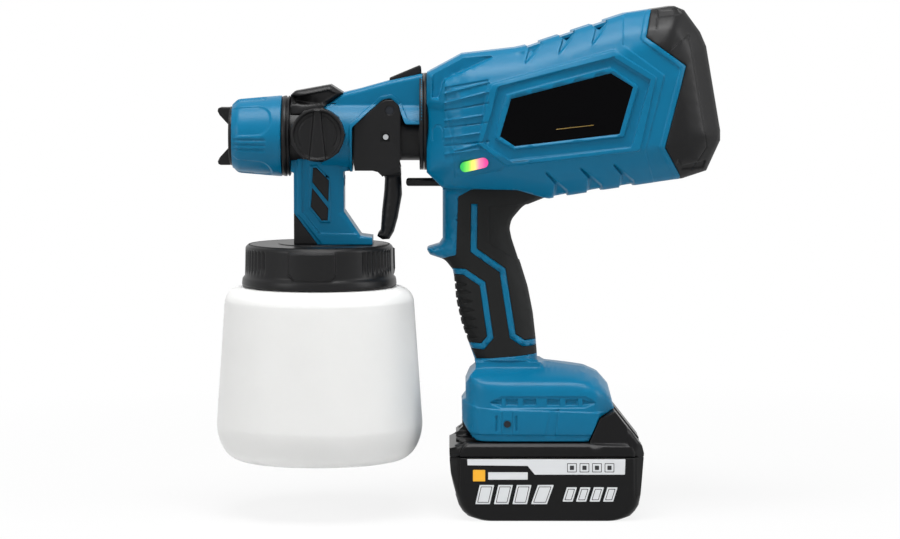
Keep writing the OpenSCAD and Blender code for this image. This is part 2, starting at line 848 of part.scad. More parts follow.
module fan_case() {
  wall = 2;
  color("#3a3c40") on_motor_axis() difference() {
    rod_x(fan_front, -14, fan_case_d, 0);
    rod_x(fan_front + wall, -14 - wall, fan_case_d - 2 * wall, 0);
    rod_x(fan_front - 1, fan_front + wall + 1, 56, 0);
    rod_x(-14 - wall - 1, -13, 30, 0);
  }
}

module motor_can() {
  color("#8d9094") on_motor_axis() difference() {
    rod_x(-12, motor_len - 12, motor_d, 0);
    rod_x(-13, motor_len - 11, motor_d - 4, 0);
  }
}

bearing_d = 16;
bearing_t = 5;

module motor_end_plate() {
  difference() {
    union() {
      rod_x(0, 2, motor_d, 0);
      rod_x(2, 8, bearing_d + 5, 0);
    }
    rod_x(2, 9, bearing_d + 2 * seat_gap, 0);
    rod_x(-1, 3, shaft_d + 2, 0);
    for (a = [0 : 60 : 300]) rotate([a, 0, 0]) rod_x(-1, 3, 5, 15);
  }
}

module motor_end_plates() {
  color("silver") on_motor_axis() {
    translate([-14, 0, 0]) motor_end_plate();
    translate([motor_len - 10, 0, 0]) mirror([1, 0, 0]) motor_end_plate();
    // Tab that the motor's lead is crimped to.
    span([tab_x + 0.4, motor_d / 2 - 1, -2], [tab_x + 1.4, motor_d / 2 + 5, 2]);
  }
}

module motor_magnets() {
  color("#4a4a4e") on_motor_axis() difference() {
    rod_x(-2, 34, motor_d - 4 - 2 * seat_gap, 0);
    rod_x(-3, 35, motor_d - 11, 0);
    span([-3, -30, -4], [35, 30, 4]);
  }
}

module shaft_bearings() {
  color("silver") on_motor_axis() for (x = [-12, motor_len - 12 - bearing_t]) difference() {
    rod_x(x, x + bearing_t, bearing_d, 0);
    rod_x(x - 1, x + bearing_t + 1, shaft_d + 2 * run_gap, 0);
  }
}

module rotor_shaft() {
  color("silver") on_motor_axis() rod_x(-40, motor_len - 11, shaft_d, 0);
}

module armature() {
  color("#b5651d") on_motor_axis() difference() {
    union() {
      rod_x(0, 30, motor_d - 13, 0);
      rod_x(30, 33, motor_d - 18, 0);
      rod_x(33, 37, 17, 0);
    }
    rod_x(-1, 38, shaft_d + 2 * seat_gap, 0);
    for (a = [0 : 30 : 330]) rotate([a, 0, 0]) span([-1, -1, motor_d / 2 - 9.5], [30.5, 1, motor_d / 2]);
  }
}

module impeller() {
  d = fan_case_d - 8;
  color("#d8d8d4") on_motor_axis() {
    difference() {
      union() {
        rod_x(-20.5, -18.5, d, 0);
        rod_x(-38, -18.5, 13, 0);
      }
      rod_x(-41, -17, shaft_d + 2 * seat_gap, 0);
    }
    for (i = [0 : blade_count - 1]) rotate([360 / blade_count * i, 0, 0])
      span([-36, 4, 5], [-20, 5.6, d / 2 - 1]);
  }
}

module trigger_switch() {
  color(black) difference() {
    span([switch_x, -switch_w / 2, switch_z0], [switch_x + 20, switch_w / 2, switch_z1]);
    span([switch_x - 1, -3, plunger_z - 3], [switch_x + plunger_stroke + 1, 3, plunger_z + 3]);
  }
}

module switch_plunger() {
  color(black) {
    rod_x(plunger_tip, switch_x - 0.5, plunger_d, plunger_z);
    rod_x(switch_x - 12, switch_x - 10.4, 8.2, plunger_z);
  }
}

module plunger_spring() {
  color("silver") translate([switch_x - 10.35, 0, plunger_z]) rotate([0, 90, 0]) coil(7, 0.8, 10.3, 5);
}

module led_lens() {
  color("#d9f7d0") slab(-drum_w / 2 + 2.8, -drum_w / 2 + 6.5) led_side(0);
}

block_z = rail_top + 3;

module terminal_block() {
  color(black) difference() {
    span([blade_x - 6, -20, block_z], [blade_x + 20, 20, block_z + 9]);
    for (y = blade_y) span([blade_x, y - 0.5, block_z - 1], [blade_x + 16, y + 0.5, block_z + 6]);
  }
}

module terminal_blades() {
  color("#c9a227") for (y = blade_y)
    span([blade_x, y - 0.5, rail_top - 4.8], [blade_x + 16, y + 0.5, block_z + 6]);
}

module control_board() {
  z = block_z + 9;
  color("#1d6b3a") {
    span([blade_x - 8, -22, z], [blade_x + 42, 22, z + 1.6]);
    span([blade_x - 4, -16, z + 1.6], [blade_x + 8, -4, z + 6]);
    span([blade_x + 24, 2, z + 1.6], [blade_x + 36, 16, z + 5]);
    rod_z(z + 1.6, z + 9, 8, blade_x + 28, -10);
  }
}

wire_d = 3.6;
handle_route = [
  [-16, 0, block_z + 10.9], [-16, 0, foot_top - 14], [-24, 0, foot_top - 2], [-34, 0, foot_top + 10],
  [-37, 0, foot_top + 24], [-39, 0, foot_top + 40], [-44, 0, foot_top + 60], [-45, 0, socket_z - 62],
  [-42, 0, socket_z - 54], [-34, 0, socket_z - 50], [-32, 0, switch_z0 - 3], [-32, 0, switch_z0 - 0.4]
];
// From the switch past the fan case, inside the right housing shell.
motor_route = [
  [switch_x + 20.4, 0, plunger_z - 1], [switch_x + 21.4, 0, plunger_z - 1], [switch_x + 22.6, 0.9, plunger_z - 0.3],
  [-17, 9, plunger_z + 1.6],
  [-13.5, 18, plunger_z + 3.4], [-8.5, 28.5, socket_z - 30.5]
];

module power_wires() {
  color("#7d1b1b") {
    lead(smooth(handle_route, 3), wire_d);
    lead(smooth(concat(motor_route, [for (p = motor_lead) from_motor(p)]), 3), wire_d);
  }
}

// --- Spray gun ---

gun_rear = front_x - 2.4;
shell_rear = gun_rear - 2.3;
shell_front = cup_x + 2.1;
neck_top = nozzle_z - 20.6;

// Side outline of the upper gun shell.
module gun_side() {
  polygon([
    [shell_rear, socket_z + 28.2], [front_x - 22.2, socket_z + 24.7], [front_x - 49.6, socket_z + 17],
    [shell_front, socket_z + 8.1], [shell_front, neck_top - 6], [shell_rear, neck_top - 6]
  ]);
}

// What the trigger's arch takes out of the shell.
module arch_side() {
  polygon([
    [front_x - 45.1, neck_top - 20], [front_x - 45.1, nozzle_z + 6], [front_x - 35.9, nozzle_z + 15.1],
    [front_x - 26.9, nozzle_z + 23.4], [front_x - 20.8, nozzle_z + 24.6], [front_x - 15.2, nozzle_z + 19.4],
    [front_x - 10.6, nozzle_z + 7.8], [front_x + 5, nozzle_z + 7.8], [front_x + 5, neck_top - 20]
  ]);
}

// Side outline of the neck and its base plate.
module neck_side() {
  x = cup_x;
  polygon([
    [x - 16.3, neck_top], [x - 14.5, neck_top - 1], [x - 14.5, lid_z + 0.4], [x + 32.2, lid_z + 0.4],
    [x + 32.2, lid_z + 4.5], [x + 25.3, lid_z + 5.5], [x + 15.3, lid_z + 20.2], [x + 15.3, neck_top - 0.8],
    [x + 19.4, neck_top], [x + 19.4, neck_top + 12], [x - 16.3, neck_top + 12]
  ]);
}

module gun_upper_form(inset) {
  w = gun_w / 2 - inset;
  slope = 14;
  intersection() {
    both(gun_w) offset(delta = -inset) gun_side();
    translate([gun_rear, 0, socket_z + 28.7 - inset]) rotate([0, -slope, 0]) log_x(-90, 20) polygon([
      [-w, -80], [-w, -9], [7 - w, 1.4], [w - 7, 1.4], [w, -9], [w, -80]
    ]);
  }
}

module neck_form(inset) {
  both(neck_w / 2 - inset) offset(delta = -inset) neck_side();
}

gun_bosses = [
  [front_x - 34.6, socket_z + 15], [front_x - 10.4, nozzle_z + 19], [cup_x + 3, lid_z + 34],
  [cup_x + 3, lid_z + 11]
];

// Round ribs that hold the shell on the barrel and the neck on its tubes.
module gun_ribs() {
  difference() {
    span([shell_front + 9, -30, lid_z], [shell_front + 12.5, 30, socket_z + 40]);
    rod_x(cup_x - 20, front_x, air_tube_d + 2 * seat_gap, nozzle_z);
    rod_z(lid_z, nozzle_z, 4.2, pressure_x);
  }
  difference() {
    span([cup_x - 20, -30, lid_z + 12], [cup_x + 3, 30, lid_z + 15]);
    rod_z(lid_z, nozzle_z, fluid_d + 2 * seat_gap, fluid_x);
  }
}

fluid_x = cup_x - 6.5;
fluid_d = 9;
pressure_x = cup_x + 10.5;

catch_x0 = front_x - 22.2;
catch_x1 = front_x - 5;
catch_w = 14;
pocket_z = socket_z + 20.9;

module catch_pocket() {
  both(catch_w / 2 + slide_gap) polygon([
    [catch_x0 - slide_gap, pocket_z], [front_x + 4, pocket_z], [front_x + 4, socket_z + 50],
    [catch_x0 - slide_gap, socket_z + 50]
  ]);
}

// Windows in the sides of the neck, [x, z] from the cup's axis and lid.
module neck_windows(shrink) {
  x = cup_x;
  offset(delta = -shrink) polygon([
    [x - 3, lid_z + 46.3], [x - 0.8, lid_z + 46.2], [x + 6.5, lid_z + 38.6], [x + 6.1, lid_z + 25.7],
    [x - 3.5, lid_z + 37.6]
  ]);
  offset(delta = -shrink) polygon([
    [x - 3.5, lid_z + 34.4], [x + 6.1, lid_z + 22.1], [x + 5.6, lid_z + 14.8], [x + 2, lid_z + 14.8],
    [x - 4.4, lid_z + 23]
  ]);
}

module gun_shell_half(side) {
  color(blue) difference() {
    side_of(side) union() {
      difference() {
        union() {
          difference() {
            gun_upper_form(0);
            both(60) arch_side();
          }
          neck_form(0);
        }
        difference() {
          union() {
            gun_upper_form(gun_wall);
            difference() {
              neck_form(gun_wall);
              span([cup_x - 40, -40, lid_z], [cup_x + 60, 40, lid_z + 7]);
            }
            span([shell_front - 0.5, -neck_w / 2 + gun_wall, neck_top - 9],
              [front_x - 47.5, neck_w / 2 - gun_wall, neck_top + 8]);
          }
          bosses(gun_bosses, 6, 40);
          gun_ribs();
          both(catch_w / 2 + slide_gap + 2) polygon([
            [catch_x0 - 2.4, pocket_z - 2], [gun_rear, pocket_z - 2], [gun_rear, socket_z + 50],
            [catch_x0 - 2.4, socket_z + 50]
          ]);
        }
      }
    }
    // Barrel, its ring and the tubes in the neck.
    rod_x(cup_x - 60, shell_front, barrel_d + 2 * seat_gap, nozzle_z);
    rod_x(shell_front - 1, shell_front + 6.5, barrel_d - 3 + 2 * seat_gap, nozzle_z);
    rod_x(shell_front, front_x, air_tube_d + 2 * seat_gap, nozzle_z);
    rod_z(lid_z - 1, nozzle_z, fluid_d + 2 * seat_gap, fluid_x);
    rod_z(lid_z - 1, nozzle_z, 4.2, pressure_x);
    rod_y(-60, 0, valve_boss_d + 2 * seat_gap, knob_x, knob_z);
    catch_pocket();
    difference() {
      both(60) neck_windows(0);
      both(neck_w / 2 - 1.2) neck_windows(-1);
    }
    for (p = gun_bosses) {
      rod_y(-9, 40, 2.6, p[0], p[1]);
      rod_y(gun_head_y, 40, 5, p[0], p[1]);
    }
    // Boss of the lid.
    rod_z(lid_z - 1, lid_z + 3.4, key_d + 2 * seat_gap, key_x);
  }
}

gun_head_y = 9;

module gun_shell_left() {
  gun_shell_half(-1);
}

module gun_shell_right() {
  gun_shell_half(1);
}

module gun_screws() {
  color("silver") for (p = gun_bosses) {
    rod_y(-8.5, gun_head_y, 2.5, p[0], p[1]);
    rod_y(gun_head_y, gun_head_y + 1.8, 4.6, p[0], p[1]);
  }
}

module neck_inserts() {
  color(black) for (s = [-1, 1])
    slab(s < 0 ? -neck_w / 2 + 0.2 : neck_w / 2 - 1.2, s < 0 ? -neck_w / 2 + 1.2 : neck_w / 2 - 0.2)
      neck_windows(seat_gap);
}

barrel_front = nose_x + 6.7;
air_bore = air_tube_d - 4.8;
front_bore = barrel_d - 6.4;
web_x = cup_x + 5.5;
body_d = 15;
valve_boss_d = 13;

module gun_barrel() {
  color(black) difference() {
    union() {
      rod_x(barrel_front, shell_front, barrel_d, nozzle_z);
      rod_x(barrel_front, web_x + 3, barrel_d - 3, nozzle_z);
      rod_x(web_x, gun_rear, air_tube_d, nozzle_z);
      rod_x(gun_rear - 1.9, gun_rear + 0.5, 57.8, socket_z);
      rod_x(gun_rear - 1, front_x + 11, plug_d, socket_z);
      // Ear that carries the trigger's pin.
      span([pivot[0] - 4.5, -pivot_ear, nozzle_z + 8], [pivot[0] + 4.5, pivot_ear, pivot[1] + 4]);
    }
    rod_x(barrel_front - 1, web_x, front_bore, nozzle_z);
    difference() {
      rod_x(web_x + 3, gun_rear + 1, air_bore, nozzle_z);
      // Bridge that the needle's spring rests on.
      span([spring_end, -3.5, nozzle_z - 20], [gun_rear + 0.5, 3.5, nozzle_z + 20]);
    }
    rod_x(gun_rear + 0.5, front_x + 12, plug_d - 5, socket_z);
    // Seat of the fluid body, with air holes around it.
    rod_x(web_x - 1, web_x + 4, body_d + 2 * seat_gap, nozzle_z);
    for (a = [30 : 60 : 330]) translate([0, 0, nozzle_z]) rotate([a, 0, 0])
      rod_x(web_x - 1, web_x + 4, 3.4, 10.2);
    // Slots for the link pin.
    span([link[0] - 2.4, -20, nozzle_z - 2.5], [link[0] + pull_lift + 2.4, 20, nozzle_z + 2.5]);
    rod_y(-20, 20, pivot_d + 2 * seat_gap, pivot[0], pivot[1]);
    // Ways for the paint tube, the air tap and the valve.
    rod_z(nozzle_z - 30, nozzle_z, fluid_d + 2 * seat_gap, fluid_x);
    rod_z(nozzle_z - 16, nozzle_z - 8, 4 + 2 * seat_gap, pressure_x);
    rod_y(-30, 0, valve_boss_d + 2 * seat_gap, knob_x, knob_z);
  }
}

pivot_ear = 15;
spring_end = gun_rear - 1.9;

module trigger_pin() {
  color("silver") rod_y(-17.6, 17.6, pivot_d, pivot[0], pivot[1]);
}

module top_cover() {
  x = cup_x;
  color(black) difference() {
    both(15) polygon([
      [x - 16.2, nozzle_z + 12], [x - 16.2, nozzle_z + 24.8], [x - 13.8, nozzle_z + 27],
      [x + 7.3, nozzle_z + 30.8], [x + 15, nozzle_z + 25.9], [shell_front, nozzle_z + 16.9], [shell_front, nozzle_z + 12]
    ]);
    rod_x(x - 40, x + 40, barrel_d + 2 * seat_gap, nozzle_z);
    // Sunk panel on top.
    translate([x - 2, 0, nozzle_z + 29.3]) rotate([0, -10, 0])
      translate([0, 0, 1]) cube([14, 18, 2.4], center = true);
  }
}

module barrel_ring() {
  x = nose_x + 30;
  r = nut_d / 2;
  color(black) turned_x([
    [x, barrel_d / 2 + seat_gap], [x, r - 0.4], [x + 1.4, r], [x + 2.4, r], [x + 3, r - 1.2], [x + 3.6, r],
    [x + 4.4, r - 0.3], [x + 4.8, r - 1.4], [x + 4.8, barrel_d / 2 + seat_gap]
  ], nozzle_z);
}

module fluid_body() {
  color("#b9bcc0") difference() {
    union() {
      rod_x(nose_x + 20, link[0] - 16, body_d, nozzle_z);
      rod_z(lid_z - 4.3, nozzle_z, fluid_d, fluid_x);
      rod_y(-gun_w / 2 - 0.2, 0, valve_boss_d, knob_x, knob_z);
    }
    rod_x(nose_x + 19, link[0] - 24, 5, nozzle_z);
    rod_x(link[0] - 26, link[0] - 15, 9, nozzle_z);
    rod_x(nose_x + 19, nose_x + 28, 9, nozzle_z);
    rod_z(lid_z - 5, nozzle_z, 5, fluid_x);
    rod_y(-gun_w / 2 - 1, -3.6, spindle_d + 2 * run_gap, knob_x, knob_z);
  }
}

spindle_d = 8;

module needle_packing() {
  color("#e8e4d8") difference() {
    rod_x(link[0] - 24 + seat_gap, link[0] - 16, 9 - 2 * seat_gap, nozzle_z);
    rod_x(link[0] - 25, link[0] - 15, needle_d + 2 * run_gap, nozzle_z);
  }
}

module fluid_nozzle() {
  x = nose_x;
  color("#b8913a") difference() {
    turned_x([
      [x - 0.7, 0], [x - 0.7, 2.5], [x + 2.5, 2.5], [x + 6, 5.5], [x + 14, 5.5], [x + 14, 7.5], [x + 20, 7.5],
      [x + 20, 4.45], [x + 27, 4.45], [x + 27, 0]
    ], nozzle_z);
    rod_x(x + 2.4, x + 28, needle_d + 1, nozzle_z);
    rod_x(x - 1, x + 3, 1.8, nozzle_z);
  }
}

module needle() {
  x = nose_x;
  color("silver") {
    turned_x([
      [x + 2, 0], [x + 2, 0.5], [x + 6.5, needle_d / 2], [link[0] - 3, needle_d / 2], [link[0] - 3, 0]
    ], nozzle_z);
    difference() {
      span([link[0] - 3.4, -5, nozzle_z - 4.5], [link[0] + 3.8, 5, nozzle_z + 4.5]);
      rod_y(-6, 6, link_d + 0.7, link[0], link[1]);
    }
  }
}

module needle_spring() {
  color("silver") translate([link[0] + 3.85, 0, nozzle_z]) rotate([0, 90, 0]) coil(8, 1, spring_end - link[0] - 3.9, 6);
}

module link_pin() {
  color("#e6e6e2") rod_y(-18.3, 18.3, link_d, link[0], link[1]);
}

module suction_tube() {
  color("#d9dcde") difference() {
    rod_z(cup_lift + 8, lid_z - 4.3, 8, fluid_x);
    rod_z(cup_lift + 7, lid_z, 5, fluid_x);
    translate([fluid_x - 6, -1, cup_lift + 7]) cube([12, 2, 4]);
  }
}

module pressure_tube() {
  color("#c9cccf") difference() {
    rod_z(lid_z - 6, nozzle_z - 13.4, 4, pressure_x);
    rod_z(lid_z - 7, nozzle_z - 12, 2.2, pressure_x);
  }
}

lid_t = 3;
lid_top = lid_z - 3;
key_x = cup_x + 20;
key_d = 10;

module cup_lid() {
  color(black) difference() {
    union() {
      rod_z(lid_top - lid_t, lid_top, cup_neck_d - 0.6, cup_x);
      rod_z(lid_top - 1, lid_z + 0.4, 48, cup_x);
      rod_z(lid_z, lid_z + 3.3, key_d, key_x);
    }
    rod_z(lid_top - 8, lid_z + 2, fluid_d + 2 * seat_gap, fluid_x);
    rod_z(lid_top - 8, lid_z + 2, 4 + 2 * seat_gap, pressure_x);
    // Hollow boss, open below.
    difference() {
      rod_z(lid_top - lid_t - 1, lid_z - 2.4, 40, cup_x);
      rod_z(lid_top - 8, lid_z, 13, fluid_x);
      rod_z(lid_top - 8, lid_z, 8, pressure_x);
    }
  }
}

module cup_gasket() {
  color("#d6d6d2") difference() {
    rod_z(lid_top - lid_t - 1.2, lid_top - lid_t, cup_neck_d - 1, cup_x);
    rod_z(lid_top - lid_t - 2, lid_top, 70, cup_x);
  }
}

// --- Moving pieces on the gun ---

module cheek_side() {
  x = front_x;
  polygon([
    [x - 43.2, nozzle_z + 7.1], [x - 27.3, nozzle_z + 20.7], [x - 24.1, nozzle_z + 21.9],
    [x - 20, nozzle_z + 21.9], [x - 16.4, nozzle_z + 18.5], [x - 15.5, nozzle_z + 14.4],
    [x - 15.5, nozzle_z - 12.4], [x - 16.4, nozzle_z - 16], [x - 15.6, nozzle_z - 19], [x - 26.4, nozzle_z - 23.5],
    [x - 28.7, nozzle_z - 20.4], [x - 42.8, nozzle_z - 19.7], [x - 43.7, nozzle_z - 13.3]
  ]);
}

module lever_side() {
  x = front_x;
  polygon([
    [x - 15.6, nozzle_z - 19], [x - 14.9, nozzle_z - 35.1], [x - 17.4, nozzle_z - 48.8],
    [x - 19.7, nozzle_z - 57], [x - 22.4, nozzle_z - 61.5], [x - 26.5, nozzle_z - 61.7],
    [x - 29.7, nozzle_z - 59.7], [x - 29.2, nozzle_z - 57.9], [x - 27.6, nozzle_z - 56],
    [x - 26.9, nozzle_z - 45.2], [x - 25.5, nozzle_z - 32.4], [x - 25.1, nozzle_z - 25.1],
    [x - 26.4, nozzle_z - 21.9], [x - 26.4, nozzle_z - 19]
  ]);
}

cheek_in = pivot_ear + 0.4;

module trigger() {
  out = cheek_in + cheek_t;
  color(black) difference() {
    union() {
      for (s = [-1, 1]) slab(s < 0 ? -out : cheek_in, s < 0 ? -cheek_in : out) cheek_side();
      both(lever_w / 2) lever_side();
      both(out) polygon([
        [front_x - 43, nozzle_z - 18], [front_x - 26.4, nozzle_z - 18], [front_x - 15.7, nozzle_z - 19],
        [front_x - 16, nozzle_z - 22.4], [front_x - 28, nozzle_z - 22.4], [front_x - 42.6, nozzle_z - 20.6]
      ]);
    }
    rod_y(-20, 20, pivot_d + 2 * run_gap, pivot[0], pivot[1]);
    rod_y(-20, 20, link_d + 2 * seat_gap, link[0], link[1]);
    // Sunk panel around the link pin.
    for (s = [-1, 1]) translate([link[0] - 0.4, s * out, link[1] + 0.4]) cube([5.6, 2, 6.6], center = true);
  }
}

module air_cap() {
  x = nose_x;
  color(black) difference() {
    union() {
      turned_x([
        [x - 1.9, 0], [x - 1.9, cap_r - 2.8], [x - 1.2, cap_r - 2.1], [x + 2.9, cap_r - 2.1],
        [x + 2.9, cap_r - 0.5], [x + 6.2, cap_r - 0.5], [x + 6.2, cap_r - 4.7], [x + 1.4, cap_r - 4.7], [x + 1.4, 0]
      ], nozzle_z);
      for (s = [0, 180]) translate([0, 0, nozzle_z]) rotate([s, 0, 0]) both(5) polygon([
        [x - 1.5, 5.9], [x - 7.6, cap_r - 7.1], [x - 8.8, cap_r - 4.7], [x - 8.4, cap_r - 3.1],
        [x - 7, cap_r - 2.5], [x - 1.5, cap_r - 2.5]
      ]);
    }
    rod_x(x - 10, x + 5, 6, nozzle_z);
    for (a = [45 : 90 : 315]) translate([0, 0, nozzle_z]) rotate([a, 0, 0]) rod_x(x - 10, x + 5, 1.6, 7);
  }
}

module nozzle_nut() {
  x = nose_x;
  r = nut_d / 2;
  color(blue) difference() {
    turned_x([
      [x, cap_r - 1.7], [x, r - 5], [x + 2.8, r - 2.6], [x + 4.2, r - 2.1], [x + 28, r], [x + 29.6, r - 0.2],
      [x + 29.6, cap_r + 0.4], [x + 2.6, cap_r + 0.4], [x + 2.6, cap_r - 1.7]
    ], nozzle_z);
    // Finger grooves in four groups.
    for (g = [0 : 90 : 270], k = [-1 : 1]) translate([0, 0, nozzle_z]) rotate([g + 12 + 90 + k * 8, 0, 0])
      span([x - 1, -0.7, r - 1.8], [x + 18, 0.7, r + 2]);
  }
}

module flow_knob() {
  y = -gun_w / 2 - 0.5;
  kx = knob_x;
  color(black) difference() {
    union() {
      rod_y(y - knob_t, y, knob_d, kx, knob_z);
      rod_y(y - 1, -4, spindle_d, kx, knob_z);
      for (a = [20, 80, 140, 200, 260, 320]) translate([kx, 0, knob_z]) rotate([0, a, 0])
        rod_y(y - knob_t + 1, y - 1, 2.4, knob_d / 2 - 0.6, 0);
      // Raised pointer.
      translate([kx, 0, knob_z]) slab(y - knob_t - 1.2, y - knob_t + 1)
        polygon([[-1.9, 13.6], [1.9, 13.6], [4.8, -14], [-4.8, -14]]);
    }
    // Sunk face on both sides of the pointer.
    translate([kx, 0, knob_z]) slab(y - knob_t - 2, y - knob_t + 1.2) difference() {
      circle(r = knob_d / 2 - 2.4);
      polygon([[-2.6, 16], [2.6, 16], [5.6, -16], [-5.6, -16]]);
    }
    // Paint way through the spindle.
    rod_z(knob_z - 10, knob_z + 10, 3, kx, -10);
  }
}

module cup_collar() {
  r = collar_d / 2;
  z0 = lid_z - collar_h;
  color(black) translate([cup_x, 0, 0]) difference() {
    rotate_extrude($fn = 96) polygon([
      [24.4, lid_z], [r - 3.4, lid_z], [r - 2.2, lid_z - 1.2], [r - 2, lid_z - 13], [r - 0.6, z0 + 6],
      [r, z0 + 1.2], [r - 0.4, z0], [cup_neck_d / 2 + 0.5, z0], [cup_neck_d / 2 + 0.5, lid_z - 2.6],
      [24.4, lid_z - 2.6]
    ]);
    // Flutes beside the six grip panels.
    for (a = [0 : 60 : 300], k = [-2 : 2]) rotate([0, 0, a + k * 4])
      translate([r - 1.2, -0.6, lid_z - 16]) cube([3, 1.2, 14]);
  }
}

// Profile of the cup, outside then inside: [radius, height].
module paint_cup() {
  r0 = cup_d / 2;
  r1 = cup_top_d / 2;
  rn = cup_neck_d / 2;
  w = cup_wall;
  z0 = cup_lift;
  zs = lid_z - collar_h - 8.4;
  // Height and width of the rounding at the foot.
  foot_h = 22;
  foot_w = 14;
  zn = lid_top - lid_t - 1.2;
  // Rounded foot and shoulder, as arcs of six steps.
  foot = [for (a = [-90 : 15 : 0]) [r0 - foot_w * (1 - cos(a)), z0 + foot_h * (1 + sin(a))]];
  shoulder = [for (a = [10 : 16 : 90]) [r1 - 9 + 9 * cos(a), zs + 7.6 * sin(a)]];
  inner_foot = [for (a = [0 : -15 : -90]) [r0 - foot_w + (foot_w - w) * cos(a), z0 + foot_h + (foot_h - w) * sin(a)]];
  inner_shoulder = [for (a = [90 : -16 : 10]) [r1 - 9 + (9 - w) * cos(a), zs + (7.6 - w) * sin(a)]];
  color("#f2f2ef") translate([cup_x, 0, 0]) rotate_extrude($fn = 96) polygon(concat(
    [[0, z0]], foot, shoulder, [[rn, zs + 8.2], [rn, zn], [rn - 2.2, zn], [rn - 2.2, zs + 6]],
    inner_shoulder, inner_foot, [[0, z0 + w]]
  ));
}

module release_catch() {
  x0 = catch_x0;
  color(black) both(catch_w / 2) polygon([
    [x0, pocket_z + 2.8], [x0, socket_z + 26.1], [front_x - 4.3, socket_z + 33.6], [front_x - 2.9, socket_z + 32.5],
    [front_x - 2.9, socket_z + 31.9], [catch_x1, socket_z + 31.7], [catch_x1, pocket_z + 2.8]
  ]);
}

module catch_spring() {
  color("silver") translate([(catch_x0 + catch_x1) / 2, 0, pocket_z + 0.02]) coil(7, 0.6, 2.75, 2);
}

// --- Drawing ---

housing_left();
housing_right();
rear_cap();
intake_filter();
name_plate_left();
name_plate_right();
grip_left();
grip_right();
socket_ring();
outlet_duct();
fan_case();
motor_can();
motor_end_plates();
motor_magnets();
shaft_bearings();
trigger_switch();
plunger_spring();
control_board();
led_lens();
terminal_block();
terminal_blades();
power_wires();
housing_screws();
rotor_shaft();
armature();
impeller();
switch_plunger();
gun_shell_left();
gun_shell_right();
gun_barrel();
top_cover();
neck_inserts();
fluid_body();
fluid_nozzle();
needle_packing();
barrel_ring();
cup_lid();
cup_gasket();
suction_tube();
pressure_tube();
trigger_pin();
gun_screws();
catch_spring();
trigger();
link_pin();
needle();
needle_spring();
air_cap();
nozzle_nut();
flow_knob();
cup_collar();
paint_cup();
release_catch();
pack_case_lower();
pack_case_upper();
pack_cells();
pack_contacts();
pack_screws();
release_button();
button_spring();
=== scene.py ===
"""Looks of a cordless cup sprayer.

Outlines are in millimetres, X from nozzle to air intake, Z up; meshes are in metres.
"""

import json
import math

import bmesh
import bpy
import numpy as np
from mathutils import Matrix, Vector
from mathutils.geometry import delaunay_2d_cdt


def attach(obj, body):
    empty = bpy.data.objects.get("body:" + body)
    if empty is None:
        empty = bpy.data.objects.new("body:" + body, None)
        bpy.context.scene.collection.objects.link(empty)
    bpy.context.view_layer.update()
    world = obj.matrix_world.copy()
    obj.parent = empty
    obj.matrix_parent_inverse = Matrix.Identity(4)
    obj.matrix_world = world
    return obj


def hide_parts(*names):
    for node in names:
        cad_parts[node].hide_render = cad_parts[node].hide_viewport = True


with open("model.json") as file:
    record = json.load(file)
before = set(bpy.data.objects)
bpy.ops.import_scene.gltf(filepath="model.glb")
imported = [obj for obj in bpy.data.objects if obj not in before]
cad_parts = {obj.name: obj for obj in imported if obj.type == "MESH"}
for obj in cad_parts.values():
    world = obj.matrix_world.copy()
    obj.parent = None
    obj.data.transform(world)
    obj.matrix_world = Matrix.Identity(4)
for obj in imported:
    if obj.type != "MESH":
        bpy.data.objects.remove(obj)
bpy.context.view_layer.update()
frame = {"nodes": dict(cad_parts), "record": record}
scene = bpy.context.scene
MM = 0.001
# Half width beyond all pieces that are cut, for cuts that go right through.
FAR = 60.0
halves = ((-1, "left"), (1, "right"))

# ---------------------------------------------------------------- camera

camera_tilt = math.radians(4.6)
camera_reach = 2.0
aim = Vector((-0.0576, 0, 0.1468))
camera_data = bpy.data.cameras.new("camera")
camera_data.sensor_width = 36
camera_data.lens = 133.33
camera_data.clip_end = 50
camera = bpy.data.objects.new("camera", camera_data)
camera.location = aim + camera_reach * Vector((0, -math.cos(camera_tilt), math.sin(camera_tilt)))
camera.rotation_euler = (math.pi / 2 - camera_tilt, 0, 0)
scene.collection.objects.link(camera)
scene.camera = camera
scene.view_settings.view_transform = "Standard"

# ---------------------------------------------------------------- materials


def linear(hexa):
    """sRGB hex to linear RGBA."""
    parts = [int(hexa[i : i + 2], 16) / 255 for i in (1, 3, 5)]
    return tuple(c / 12.92 if c <= 0.04045 else ((c + 0.055) / 1.055) ** 2.4 for c in parts) + (1,)


def add_node(tree, kind, inputs=None, links=None, **settings):
    """A node with its settings, its plain inputs and its links, each from (node, output)."""
    made = tree.nodes.new(kind)
    for key, value in settings.items():
        setattr(made, key, value)
    for key, value in (inputs or {}).items():
        made.inputs[key].default_value = value
    for key, (source, output) in (links or {}).items():
        tree.links.new(source.outputs[output], made.inputs[key])
    return made


def blank(name):
    material = bpy.data.materials.new(name)
    material.use_nodes = True
    material.node_tree.nodes.clear()
    return material, material.node_tree


def surface(tree, inputs, links):
    """The shader of a material, wired to its output."""
    shader = add_node(tree, "ShaderNodeBsdfPrincipled", inputs, links)
    add_node(tree, "ShaderNodeOutputMaterial", links={"Surface": (shader, "BSDF")})


def drifting_gloss(tree, noise, rough, drift):
    """Roughness that varies by drift with a noise."""
    ends = {"To Min": rough - drift / 2, "To Max": rough + drift / 2}
    return add_node(tree, "ShaderNodeMapRange", ends, {"Value": (noise, "Fac")})


